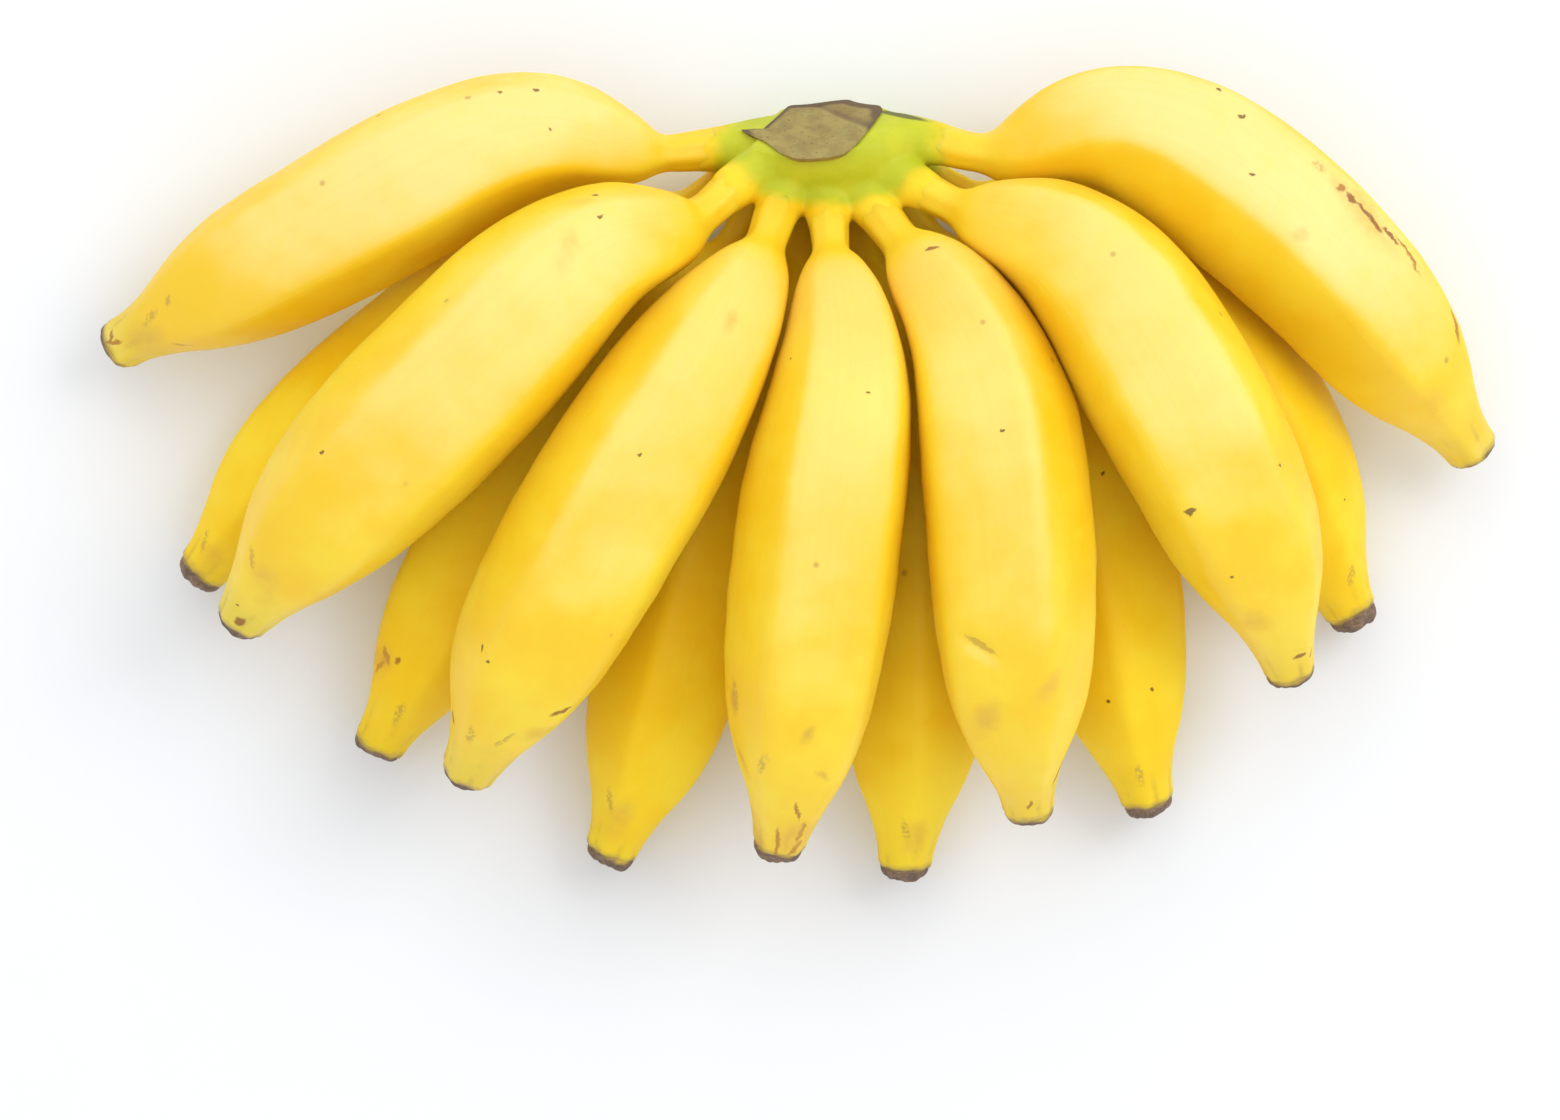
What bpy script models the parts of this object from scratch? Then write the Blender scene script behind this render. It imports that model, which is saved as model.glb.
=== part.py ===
"""A hand of small egg bananas lying on its concave side, with the crown toward +Y.

Seven bananas form the front row. Six more lie in the row below and show in its gaps.
Lengths are in millimetres in the tables and in metres in the scene. +Z is up and the table is at Z = 0.
"""
import math

import bpy
import bmesh
import numpy as np
from mathutils import Vector

# Sizes of the whole hand, in millimetres
MM = 0.001
MERGE_DISTANCE = 1e-7
JOINT_GAP = 0.3
TABLE_LEVEL = 0.8
FRONT_SIDES = 20
BACK_SIDES = 15
STATIONS = 22
END_PACKING = 0.4
RIDGE_COUNT = 5
RIDGE_SHARE = 0.6
RIDGE_SOFTNESS = 0.11
PENTAGON_MEAN = 1.0618
PRESS_GAP = 0.6
PRESS_ROUNDS = 12
LINE_SAMPLES = 121

# Stalk and blossom end of each banana
STALK_RADIUS = 3.5
STALK_FLARE = 0.4
NOSE_RADIUS = 4.9
BODY_SHARE = 0.992
TIP_LENGTH = 2.2
TIP_BASE_RADIUS = 4.8
TIP_WAIST_RADIUS = 4.9
TIP_END_RADIUS = 4.2
TIP_DIMPLE = 0.8
TIP_DIMPLE_RADIUS = 2.0
TIP_SIDES = 12
TIP_LOBES = 3
TIP_LOBE_HEIGHT = 0.05

# Crown pad, lobes and the cut that took the hand off its main stalk
PAD_CENTRE = (0.3, -0.6, 17.0)
PAD_SIZE = (19.2, 10.2, 13.5)
LOBE_START = 0.25
LOBE_ROOT_RADIUS = 7.2
LOBE_SIDES = 16
LOBE_STATIONS = 6
PAD_SEGMENTS = 28
PAD_RINGS = 16
CUT_POINT = (-3.6, 4.1, 22.5)
CUT_NORMAL = (-0.12, 0.82, 0.54)
SIDE_CUT_POINT = (-9.8, 5.6, 20.0)
SIDE_CUT_NORMAL = (-0.7, 0.7, 0.15)
CUT_SKIN = 1.2
CUT_INSET = 0.9
CUT_BEVEL = 0.5

# Girth along a banana: fraction of its length from the crown, fraction of its full radius
PROFILE = (
    (0.075, 0.24),
    (0.09, 0.33),
    (0.11, 0.44),
    (0.15, 0.57),
    (0.20, 0.69),
    (0.26, 0.80),
    (0.32, 0.89),
    (0.39, 0.96),
    (0.47, 1.0),
    (0.60, 1.0),
    (0.70, 0.96),
    (0.77, 0.89),
    (0.82, 0.80),
    (0.865, 0.68),
    (0.91, 0.52),
    (0.945, 0.42),
    (0.975, 0.35),
)
STALK_END = 0.06

# Each banana: full radius, turn of its ridges in degrees, and centreline points from the crown outward
FRONT_ROW = (
    (14.2, 55, (
        (-22.5, 0.2, 17), (-35, -0.5, 21.5), (-49, 2.3, 27),
        (-79.5, -8.2, 31), (-119, -28.5, 18), (-133, -35.7, 11.2))),
    (16.3, 63, (
        (-18, -7.6, 25), (-25.5, -14, 30), (-37.9, -18.2, 38),
        (-63.7, -39.8, 47), (-96.1, -72.5, 37), (-108.9, -87.2, 26))),
    (15.6, 69, (
        (-9.5, -11.8, 25), (-12.3, -19.6, 31), (-18.5, -31.8, 39),
        (-37.7, -64.4, 47), (-58.2, -99.9, 37), (-66.7, -115.3, 25.8))),
    (14.9, 65, (
        (0, -12.6, 25), (0.5, -20.5, 31), (2.3, -34.5, 40),
        (-0.9, -69.5, 48), (-6.6, -114.5, 36), (-9.3, -129.4, 27.2))),
    (15.1, 39, (
        (9.4, -12.1, 25.3), (14, -18.5, 31), (23.3, -31, 39),
        (32.1, -71, 47), (35.2, -109, 37), (37.1, -122, 28))),
    (15.6, 52, (
        (16.5, -7.2, 25), (27.5, -12.7, 30), (40.1, -17.5, 37),
        (63, -46.4, 47), (79.9, -79.8, 36), (85.7, -96.5, 25.5))),
    (14.8, 3, (
        (20, 1.2, 22), (33.5, -1, 24), (48.5, 3, 28),
        (77.5, -9, 33), (109.9, -41.8, 21), (120.9, -55.2, 12.8))),
)
BACK_ROW = (
    (14.6, 12, (
        (-19, -5.2, 11), (-28, -11, 11.5), (-41.5, -16, 13.5),
        (-75.5, -39.5, 14.6), (-106, -65.5, 13), (-118.2, -78.6, 9.4))),
    (14.6, 33, (
        (-13.4, -10.6, 10), (-18, -17.5, 11), (-27, -29.5, 13.5),
        (-54, -61.5, 14.6), (-77, -98, 13), (-84.6, -110.9, 9.4))),
    (14.6, 5, (
        (-4.8, -12.8, 10), (-6, -19.5, 11), (-9.5, -32, 13.5),
        (-21.5, -69, 14.6), (-35, -116, 13), (-40.8, -131.7, 9.4))),
    (14.6, 24, (
        (5.2, -12.6, 10), (7, -19.5, 11), (11, -32, 13.5),
        (15.5, -73, 14.6), (15.5, -118, 13), (14.6, -134.1, 9.4))),
    (14.6, 16, (
        (13.8, -10.2, 10), (19.5, -17, 11), (29, -28, 13.5),
        (48, -65.5, 14.6), (57.5, -111.5, 13), (60.5, -122.2, 9.6))),
    (14.6, 38, (
        (19.2, -4.6, 11), (29.5, -9.5, 11.5), (44, -14.5, 13.5),
        (70.5, -36, 14.6), (90.5, -70, 13), (99.2, -87, 9.3))),
)

# Colour, roughness and metallic share of each kind of surface
PEEL = ((0.86, 0.60, 0.07), 0.45, 0.0)
CROWN_GREEN = ((0.50, 0.55, 0.10), 0.5, 0.0)
DRY_CUT = ((0.30, 0.23, 0.12), 0.8, 0.0)
DRY_TIP = ((0.10, 0.07, 0.05), 0.85, 0.0)


def clear_scene():
    """Remove whatever the new file starts with."""
    for item in list(bpy.data.objects):
        bpy.data.objects.remove(item, do_unlink=True)


def make_material(name, look):
    """One plain Principled surface."""
    colour, roughness, metallic = look
    material = bpy.data.materials.new(name)
    material.use_nodes = True
    shader = material.node_tree.nodes["Principled BSDF"]
    shader.inputs["Base Color"].default_value = (*colour, 1.0)
    shader.inputs["Roughness"].default_value = roughness
    shader.inputs["Metallic"].default_value = metallic
    return material


def spline_table(knots, values):
    """Second derivatives of the natural cubic spline through the values."""
    count = len(knots)
    matrix = np.eye(count)
    right = np.zeros((count, values.shape[1]))
    steps = np.diff(knots)
    for i in range(1, count - 1):
        matrix[i, i - 1] = steps[i - 1]
        matrix[i, i] = 2 * (steps[i - 1] + steps[i])
        matrix[i, i + 1] = steps[i]
        slope_after = (values[i + 1] - values[i]) / steps[i]
        slope_before = (values[i] - values[i - 1]) / steps[i - 1]
        right[i] = 6 * (slope_after - slope_before)
    return np.linalg.solve(matrix, right)


def spline_points(knots, values, where):
    """Points of the natural cubic spline at the given places."""
    second = spline_table(knots, values)
    result = []
    for place in where:
        i = min(max(int(np.searchsorted(knots, place)) - 1, 0), len(knots) - 2)
        step = knots[i + 1] - knots[i]
        a = (knots[i + 1] - place) / step
        b = (place - knots[i]) / step
        bend = ((a ** 3 - a) * second[i] + (b ** 3 - b) * second[i + 1]) * step ** 2 / 6
        result.append(a * values[i] + b * values[i + 1] + bend)
    return np.array(result)


def even_path(points, fractions):
    """Centreline points at fractions of the length of the smooth curve through the given points."""
    values = np.array(points, dtype=float)
    knots = np.concatenate(([0.0], np.cumsum(np.linalg.norm(np.diff(values, axis=0), axis=1))))
    dense = spline_points(knots, values, np.linspace(0.0, knots[-1], 241))
    lengths = np.concatenate(([0.0], np.cumsum(np.linalg.norm(np.diff(dense, axis=0), axis=1))))
    wanted = np.array(fractions) * lengths[-1]
    path = np.column_stack([np.interp(wanted, lengths, dense[:, axis]) for axis in range(3)])
    return path, lengths[-1]


def radius_at(fraction, full_radius):
    """Mean radius of a banana at a fraction of its length."""
    knots = [0.0, STALK_END] + [place for place, share in PROFILE] + [1.0]
    radii = [STALK_RADIUS + STALK_FLARE, STALK_RADIUS]
    radii += [share * full_radius for place, share in PROFILE] + [NOSE_RADIUS]
    return float(np.interp(fraction, knots, radii))


def smooth_radius(fraction, full_radius):
    """Radius averaged over a short length, so that the outline has no corners."""
    half_window = 0.015
    samples = [min(max(fraction + shift * half_window, 0.0), 1.0) for shift in (-1.0, -0.5, 0.0, 0.5, 1.0)]
    return sum(radius_at(place, full_radius) for place in samples) / len(samples)


def ridge_share(fraction):
    """Strength of the five ridges: none on the stalk and the nose, full along the body."""
    rise = min(max((fraction - 0.06) / 0.16, 0.0), 1.0)
    fall = min(max((1.0 - fraction) / 0.2, 0.0), 1.0)
    return RIDGE_SHARE * math.sin(rise * math.pi / 2) * math.sin(fall * math.pi / 2)


def pentagon(angle):
    """Radius of a soft-cornered pentagon with a ridge at angle 0, as a share above or below its mean."""
    corner = math.tau / RIDGE_COUNT
    from_ridge = abs((angle + corner / 2) % corner - corner / 2)
    from_middle = math.hypot(corner / 2, RIDGE_SOFTNESS) - math.hypot(from_ridge, RIDGE_SOFTNESS)
    return 1 / (PENTAGON_MEAN * math.cos(from_middle)) - 1


def centreline(banana):
    """Dense centreline of one banana with its radius at each point."""
    fractions = np.linspace(0.0, 1.0, LINE_SAMPLES)
    path, length = even_path(banana[2], fractions)
    return path, np.array([smooth_radius(fraction, banana[0]) for fraction in fractions])


def depth_outside(points, line):
    """Distance of each point outside the skin of one banana, negative inside it."""
    path, radii = line
    reach = np.linalg.norm(points[:, None, :] - path[None, :, :], axis=2) - radii[None, :]
    return reach.min(axis=1)


def room_left(points, own, others):
    """How much further each point lies from its nearest neighbour than from its own banana."""
    nearest = np.min([depth_outside(points, line) for line in others], axis=0)
    return nearest - depth_outside(points, own)


def press_apart(points, centres, own, others):
    """Flatten a banana where it presses on its neighbours, half of the overlap on each side."""
    result = points.copy()
    touching = np.flatnonzero(room_left(points, own, others) < PRESS_GAP)
    if len(touching) == 0:
        return result
    base = centres[touching]
    spokes = points[touching] - base
    low = np.zeros(len(touching))
    high = np.ones(len(touching))
    for turn in range(PRESS_ROUNDS):
        middle = (low + high) / 2
        clear = room_left(base + spokes * middle[:, None], own, others) >= PRESS_GAP
        low = np.where(clear, middle, low)
        high = np.where(clear, high, middle)
    result[touching] = base + spokes * low[:, None]
    return result


def path_frames(path):
    """Direction, side and upward vectors along a path, with the upward one kept near the vertical."""
    directions = np.gradient(path, axis=0)
    frames = []
    for direction in directions:
        along = Vector(direction).normalized()
        side = along.cross(Vector((0, 0, 1))).normalized()
        frames.append((along, side, side.cross(along).normalized()))
    return frames


def add_ring(bm, centre, side, up, radii, turn=0.0):
    """Closed ring of vertices round a centre, one radius for each vertex, the first one at an angle."""
    count = len(radii)
    ring = bmesh.ops.create_circle(bm, cap_ends=False, radius=1.0, segments=count)["verts"]
    for index, vertex in enumerate(ring):
        angle = math.tau * index / count + turn
        reach = radii[index]
        vertex.co = (centre + side * (reach * math.cos(angle)) + up * (reach * math.sin(angle))) * MM
    return ring


def ring_edges(ring):
    """Edges between neighbours of one ring."""
    members = set(ring)
    return [edge for edge in {e for v in ring for e in v.link_edges} if set(edge.verts) <= members]


def loft(bm, rings):
    """Skin between rings, with a flat face at both ends."""
    edge_sets = [ring_edges(ring) for ring in rings]
    for near, far in zip(edge_sets, edge_sets[1:]):
        bmesh.ops.bridge_loops(bm, edges=near + far)
    bmesh.ops.contextual_create(bm, geom=rings[0])
    bmesh.ops.contextual_create(bm, geom=rings[-1])
    bmesh.ops.recalc_face_normals(bm, faces=bm.faces)


def finish_object(bm, name, look):
    """Turn the mesh into a named object with its own material and smooth shading."""
    bmesh.ops.recalc_face_normals(bm, faces=bm.faces)
    mesh = bpy.data.meshes.new(name)
    bm.to_mesh(mesh)
    bm.free()
    mesh.shade_smooth()
    mesh.materials.append(make_material(name + "_surface", look))
    result = bpy.data.objects.new(name, mesh)
    bpy.context.collection.objects.link(result)
    return result


def finger_fractions():
    """Stations along a banana, closer together toward both ends."""
    even = np.linspace(0.0, 1.0, STATIONS)
    packed = (1 - END_PACKING) * even + END_PACKING * (1 - np.cos(math.pi * even)) / 2
    return packed * BODY_SHARE


def finger_rings(bm, banana, sides, lines):
    """Rings of one banana from its stalk to its nose, flattened where it meets its neighbours."""
    full_radius, turn, points = banana
    fractions = finger_fractions()
    path, length = even_path(points, fractions)
    rings = []
    for fraction, centre, (along, side, up) in zip(fractions, path, path_frames(path)):
        mean = smooth_radius(fraction, full_radius)
        swell = ridge_share(fraction)
        radii = [mean * (1 + swell * pentagon(math.tau * index / sides)) for index in range(sides)]
        rings.append(add_ring(bm, Vector(centre), side, up, radii, math.radians(turn)))
    own = lines[banana]
    others = [line for other, line in lines.items() if other != banana]
    skin = np.array([vertex.co / MM for ring in rings for vertex in ring])
    pressed = press_apart(skin, np.repeat(path, sides, axis=0), own, others)
    for vertex, place in zip([vertex for ring in rings for vertex in ring], pressed):
        vertex.co = Vector(place) * MM
    return rings


def rest_on_table(bm):
    """Slice the underside flat where it reaches the table."""
    level = TABLE_LEVEL * MM
    if min(vertex.co.z for vertex in bm.verts) >= level:
        return
    geometry = list(bm.verts) + list(bm.edges) + list(bm.faces)
    cut = bmesh.ops.bisect_plane(bm, geom=geometry, dist=MERGE_DISTANCE, plane_co=(0, 0, level),
                                 plane_no=(0, 0, -1), clear_outer=True)
    edges = [item for item in cut["geom_cut"] if isinstance(item, bmesh.types.BMEdge)]
    bmesh.ops.contextual_create(bm, geom=edges)


def build_finger(name, banana, sides, lines):
    """One banana with its stalk."""
    bm = bmesh.new()
    loft(bm, finger_rings(bm, banana, sides, lines))
    rest_on_table(bm)
    return finish_object(bm, name, PEEL)


def end_frame(banana):
    """Last centreline point of a banana and the vectors of its end face."""
    path, length = even_path(banana[2], finger_fractions())
    return Vector(path[-1]), path_frames(path)[-1]


def build_tip(name, banana):
    """Dried blossom end: a short lobed plug with a hollow in its outer face."""
    centre, (along, side, up) = end_frame(banana)
    bm = bmesh.new()
    outline = (
        (JOINT_GAP, TIP_BASE_RADIUS),
        (JOINT_GAP + TIP_LENGTH / 2, TIP_WAIST_RADIUS),
        (TIP_LENGTH, TIP_END_RADIUS),
        (TIP_LENGTH - TIP_DIMPLE, TIP_DIMPLE_RADIUS),
    )
    waves = [math.cos(TIP_LOBES * math.tau * index / TIP_SIDES) for index in range(TIP_SIDES)]
    rings = []
    for reach, radius in outline:
        radii = [radius * (1 + TIP_LOBE_HEIGHT * wave) for wave in waves]
        rings.append(add_ring(bm, centre + along * reach, side, up, radii))
    loft(bm, rings)
    return finish_object(bm, name, DRY_TIP)


def lobe_rings(bm, banana):
    """Rings of one crown lobe, from inside the pad to the start of the banana's stalk."""
    path, length = even_path(banana[2], finger_fractions())
    along, side, up = path_frames(path)[0]
    start = Vector(banana[2][0]) - along * JOINT_GAP
    pad = Vector(PAD_CENTRE)
    inner = start.lerp(pad, 1 - LOBE_START)
    tangent = along * (start - inner).length
    rings = []
    for station in range(LOBE_STATIONS):
        share = station / (LOBE_STATIONS - 1)
        blend = 3 * share ** 2 - 2 * share ** 3
        bend = (start - inner) * (share - 2 * share ** 2 + share ** 3) + tangent * (share ** 3 - share ** 2)
        centre = inner.lerp(start, blend) + bend
        radius = LOBE_ROOT_RADIUS + (STALK_RADIUS + STALK_FLARE - LOBE_ROOT_RADIUS) * blend
        rings.append(add_ring(bm, centre, side, up, [radius] * LOBE_SIDES))
    return rings


def join_with(target, other):
    """Real union of two closed bodies, leaving only the first object."""
    union = target.modifiers.new("union", "BOOLEAN")
    union.operation = "UNION"
    union.solver = "EXACT"
    union.object = other
    bpy.context.view_layer.objects.active = target
    bpy.ops.object.modifier_apply(modifier=union.name)
    bpy.data.objects.remove(other, do_unlink=True)


def build_crown():
    """Green cushion trimmed at its far left, with a lobe for each banana."""
    bm = bmesh.new()
    bmesh.ops.create_uvsphere(bm, u_segments=PAD_SEGMENTS, v_segments=PAD_RINGS, radius=1.0)
    for vertex in bm.verts:
        vertex.co = Vector([c * s + o for c, s, o in zip(vertex.co, PAD_SIZE, PAD_CENTRE)]) * MM
    crown = finish_object(bm, "crown", CROWN_GREEN)
    slice_off(crown, Vector(SIDE_CUT_POINT) * MM, Vector(SIDE_CUT_NORMAL).normalized())
    for index, banana in enumerate(FRONT_ROW + BACK_ROW):
        bm = bmesh.new()
        loft(bm, lobe_rings(bm, banana))
        join_with(crown, finish_object(bm, "lobe_%d" % index, CROWN_GREEN))
    return crown


def cut_plane(offset):
    """Point and normal of the cut, moved outward by an offset."""
    normal = Vector(CUT_NORMAL).normalized()
    return (Vector(CUT_POINT) + normal * offset) * MM, normal


def slice_off(item, point, normal):
    """Take the part of a body beyond a plane away and close it with a flat face."""
    bm = bmesh.new()
    bm.from_mesh(item.data)
    geometry = list(bm.verts) + list(bm.edges) + list(bm.faces)
    cut = bmesh.ops.bisect_plane(bm, geom=geometry, dist=MERGE_DISTANCE, plane_co=point, plane_no=normal,
                                 clear_outer=True)
    edges = [item for item in cut["geom_cut"] if isinstance(item, bmesh.types.BMEdge)]
    bmesh.ops.contextual_create(bm, geom=edges)
    bmesh.ops.recalc_face_normals(bm, faces=bm.faces)
    bm.to_mesh(item.data)
    bm.free()


def build_cut_face():
    """Thin dry skin on the cut, with the outline of the pad a little inside its edge."""
    point, normal = cut_plane(JOINT_GAP)
    side = Vector((1, 0, 0)).cross(normal).cross(normal).normalized()
    up = normal.cross(side)
    bm = bmesh.new()
    radii = []
    for index in range(PAD_SEGMENTS):
        angle = math.tau * index / PAD_SEGMENTS
        heading = side * math.cos(angle) + up * math.sin(angle)
        reach = min(pad_reach(Vector(CUT_POINT), heading), side_cut_reach(Vector(CUT_POINT), heading))
        radii.append(reach - CUT_INSET)
    rings = []
    for height, inset in ((0.0, 0.0), (CUT_SKIN - CUT_BEVEL, 0.0), (CUT_SKIN, CUT_BEVEL)):
        centre = point / MM + normal * height
        rings.append(add_ring(bm, centre, side, up, [radius - inset for radius in radii]))
    loft(bm, rings)
    return finish_object(bm, "cut_face", DRY_CUT)


def pad_reach(start, heading):
    """Distance from a point inside the pad to its skin along a heading."""
    size = Vector(PAD_SIZE)
    local = Vector([(s - c) / k for s, c, k in zip(start, PAD_CENTRE, size)])
    step = Vector([h / k for h, k in zip(heading, size)])
    a = step.dot(step)
    b = local.dot(step)
    c = local.dot(local) - 1
    return (-b + math.sqrt(b * b - a * c)) / a


def side_cut_reach(start, heading):
    """Distance from a point to the trimmed far left of the pad along a heading, or a length past the pad."""
    normal = Vector(SIDE_CUT_NORMAL).normalized()
    toward = normal.dot(heading)
    if toward < MERGE_DISTANCE:
        return max(PAD_SIZE) * 2
    return (Vector(SIDE_CUT_POINT) - start).dot(normal) / toward


def set_origin(objects):
    """Move everything so that the middle of the underside of the whole hand is the origin."""
    corners = [vertex.co for item in objects for vertex in item.data.vertices]
    low = [min(corner[axis] for corner in corners) for axis in range(3)]
    high = [max(corner[axis] for corner in corners) for axis in range(3)]
    shift = Vector((-(low[0] + high[0]) / 2, -(low[1] + high[1]) / 2, -TABLE_LEVEL * MM))
    for item in objects:
        bm = bmesh.new()
        bm.from_mesh(item.data)
        bmesh.ops.translate(bm, verts=bm.verts, vec=shift)
        bm.to_mesh(item.data)
        bm.free()


def main():
    clear_scene()
    crown = build_crown()
    slice_off(crown, *cut_plane(0.0))
    objects = [crown, build_cut_face()]
    lines = {banana: centreline(banana) for banana in FRONT_ROW + BACK_ROW}
    for row_name, row, sides in (("front", FRONT_ROW, FRONT_SIDES), ("back", BACK_ROW, BACK_SIDES)):
        for index, banana in enumerate(row, start=1):
            objects.append(build_finger("finger_%s_%d" % (row_name, index), banana, sides, lines))
            objects.append(build_tip("tip_%s_%d" % (row_name, index), banana))
    set_origin(objects)


main()
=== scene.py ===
"""Looks of a hand of small egg bananas, lying on a pale table and seen from above."""
import math

import bmesh
import bpy
import numpy as np
from mathutils import Matrix, Vector, noise
from mathutils.bvhtree import BVHTree


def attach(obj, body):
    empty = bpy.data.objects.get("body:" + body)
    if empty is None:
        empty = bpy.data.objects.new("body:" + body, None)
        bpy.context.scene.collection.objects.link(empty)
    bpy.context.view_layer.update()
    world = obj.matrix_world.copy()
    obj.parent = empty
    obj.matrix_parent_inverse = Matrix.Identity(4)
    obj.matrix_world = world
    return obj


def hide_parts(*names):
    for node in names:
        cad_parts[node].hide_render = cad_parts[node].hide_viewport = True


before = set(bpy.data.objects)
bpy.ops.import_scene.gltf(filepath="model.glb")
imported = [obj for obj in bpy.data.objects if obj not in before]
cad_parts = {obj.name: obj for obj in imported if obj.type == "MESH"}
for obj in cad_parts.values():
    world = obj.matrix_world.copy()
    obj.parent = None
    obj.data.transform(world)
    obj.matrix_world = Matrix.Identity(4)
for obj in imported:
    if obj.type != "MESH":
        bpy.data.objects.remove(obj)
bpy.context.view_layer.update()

bl_info = {
    "name": "Hand of egg bananas",
    "version": (1, 0, 0),
    "blender": (4, 5, 0),
    "location": "View3D > Sidebar > Bananas",
    "description": "Models a hand of ripe egg bananas with its crown, dry tips and a pale studio",
    "category": "Add Mesh",
}

MM = 0.001
ROOT = "root"

# The crown's middle in the frame, and the route of each banana from there, in millimetres
CROWN_PLACE = (5.66, 60.91, -0.8)
FRONT_ROW = (
    (14.2, 55, (
        (-22.5, 0.2, 17), (-35, -0.5, 21.5), (-49, 2.3, 27),
        (-79.5, -8.2, 31), (-119, -28.5, 18), (-133, -35.7, 11.2))),
    (16.3, 63, (
        (-18, -7.6, 25), (-25.5, -14, 30), (-37.9, -18.2, 38),
        (-63.7, -39.8, 47), (-96.1, -72.5, 37), (-108.9, -87.2, 26))),
    (15.6, 69, (
        (-9.5, -11.8, 25), (-12.3, -19.6, 31), (-18.5, -31.8, 39),
        (-37.7, -64.4, 47), (-58.2, -99.9, 37), (-66.7, -115.3, 25.8))),
    (14.9, 65, (
        (0, -12.6, 25), (0.5, -20.5, 31), (2.3, -34.5, 40),
        (-0.9, -69.5, 48), (-6.6, -114.5, 36), (-9.3, -129.4, 27.2))),
    (15.1, 39, (
        (9.4, -12.1, 25.3), (14, -18.5, 31), (23.3, -31, 39),
        (32.1, -71, 47), (35.2, -109, 37), (37.1, -122, 28))),
    (15.6, 52, (
        (16.5, -7.2, 25), (27.5, -12.7, 30), (40.1, -17.5, 37),
        (63, -46.4, 47), (79.9, -79.8, 36), (85.7, -96.5, 25.5))),
    (14.8, 3, (
        (20, 1.2, 22), (33.5, -1, 24), (48.5, 3, 28),
        (77.5, -9, 33), (109.9, -41.8, 21), (120.9, -55.2, 12.8))),
)
BACK_ROW = (
    (14.6, 12, (
        (-19, -5.2, 11), (-28, -11, 11.5), (-41.5, -16, 13.5),
        (-75.5, -39.5, 14.6), (-106, -65.5, 13), (-118.2, -78.6, 9.4))),
    (14.6, 33, (
        (-13.4, -10.6, 10), (-18, -17.5, 11), (-27, -29.5, 13.5),
        (-54, -61.5, 14.6), (-77, -98, 13), (-84.6, -110.9, 9.4))),
    (14.6, 5, (
        (-4.8, -12.8, 10), (-6, -19.5, 11), (-9.5, -32, 13.5),
        (-21.5, -69, 14.6), (-35, -116, 13), (-40.8, -131.7, 9.4))),
    (14.6, 24, (
        (5.2, -12.6, 10), (7, -19.5, 11), (11, -32, 13.5),
        (15.5, -73, 14.6), (15.5, -118, 13), (14.6, -134.1, 9.4))),
    (14.6, 16, (
        (13.8, -10.2, 10), (19.5, -17, 11), (29, -28, 13.5),
        (48, -65.5, 14.6), (57.5, -111.5, 13), (60.5, -122.2, 9.6))),
    (14.6, 38, (
        (19.2, -4.6, 11), (29.5, -9.5, 11.5), (44, -14.5, 13.5),
        (70.5, -36, 14.6), (90.5, -70, 13), (99.2, -87, 9.3))),
)
BANANAS = {"front_%d" % number: banana for number, banana in enumerate(FRONT_ROW, start=1)}
BANANAS.update({"back_%d" % number: banana for number, banana in enumerate(BACK_ROW, start=1)})

# Girth along a banana: share of its length from the crown, share of its full radius
PROFILE = (
    (0.075, 0.24), (0.09, 0.33), (0.11, 0.44), (0.15, 0.57), (0.20, 0.69), (0.26, 0.80), (0.32, 0.89),
    (0.39, 0.96), (0.47, 1.0), (0.60, 1.0), (0.70, 0.96), (0.77, 0.89), (0.82, 0.80), (0.865, 0.68),
    (0.91, 0.52), (0.945, 0.42), (0.975, 0.35),
)
STALK_END = 0.06
STALK_RADIUS = 3.5
STALK_FLARE = 0.4
NOSE_RADIUS = 4.9
RIDGE_SOFTNESS = 0.1
PRESS_GAP = 0.16
PRESS_ROUNDS = 14
LINE_SAMPLES = 161

# The camera stands straight above the middle of the photograph
PHOTO_WIDTH = 1560
PHOTO_HEIGHT = 1120
MM_PER_PIXEL = 0.185
SHARP_HEIGHT = 29.2
CAMERA_DISTANCE = 1000.0
CROWN_PIXEL = (828, 150)
CROWN_TOP = 20.0
SENSOR_WIDTH = 36.0

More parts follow.
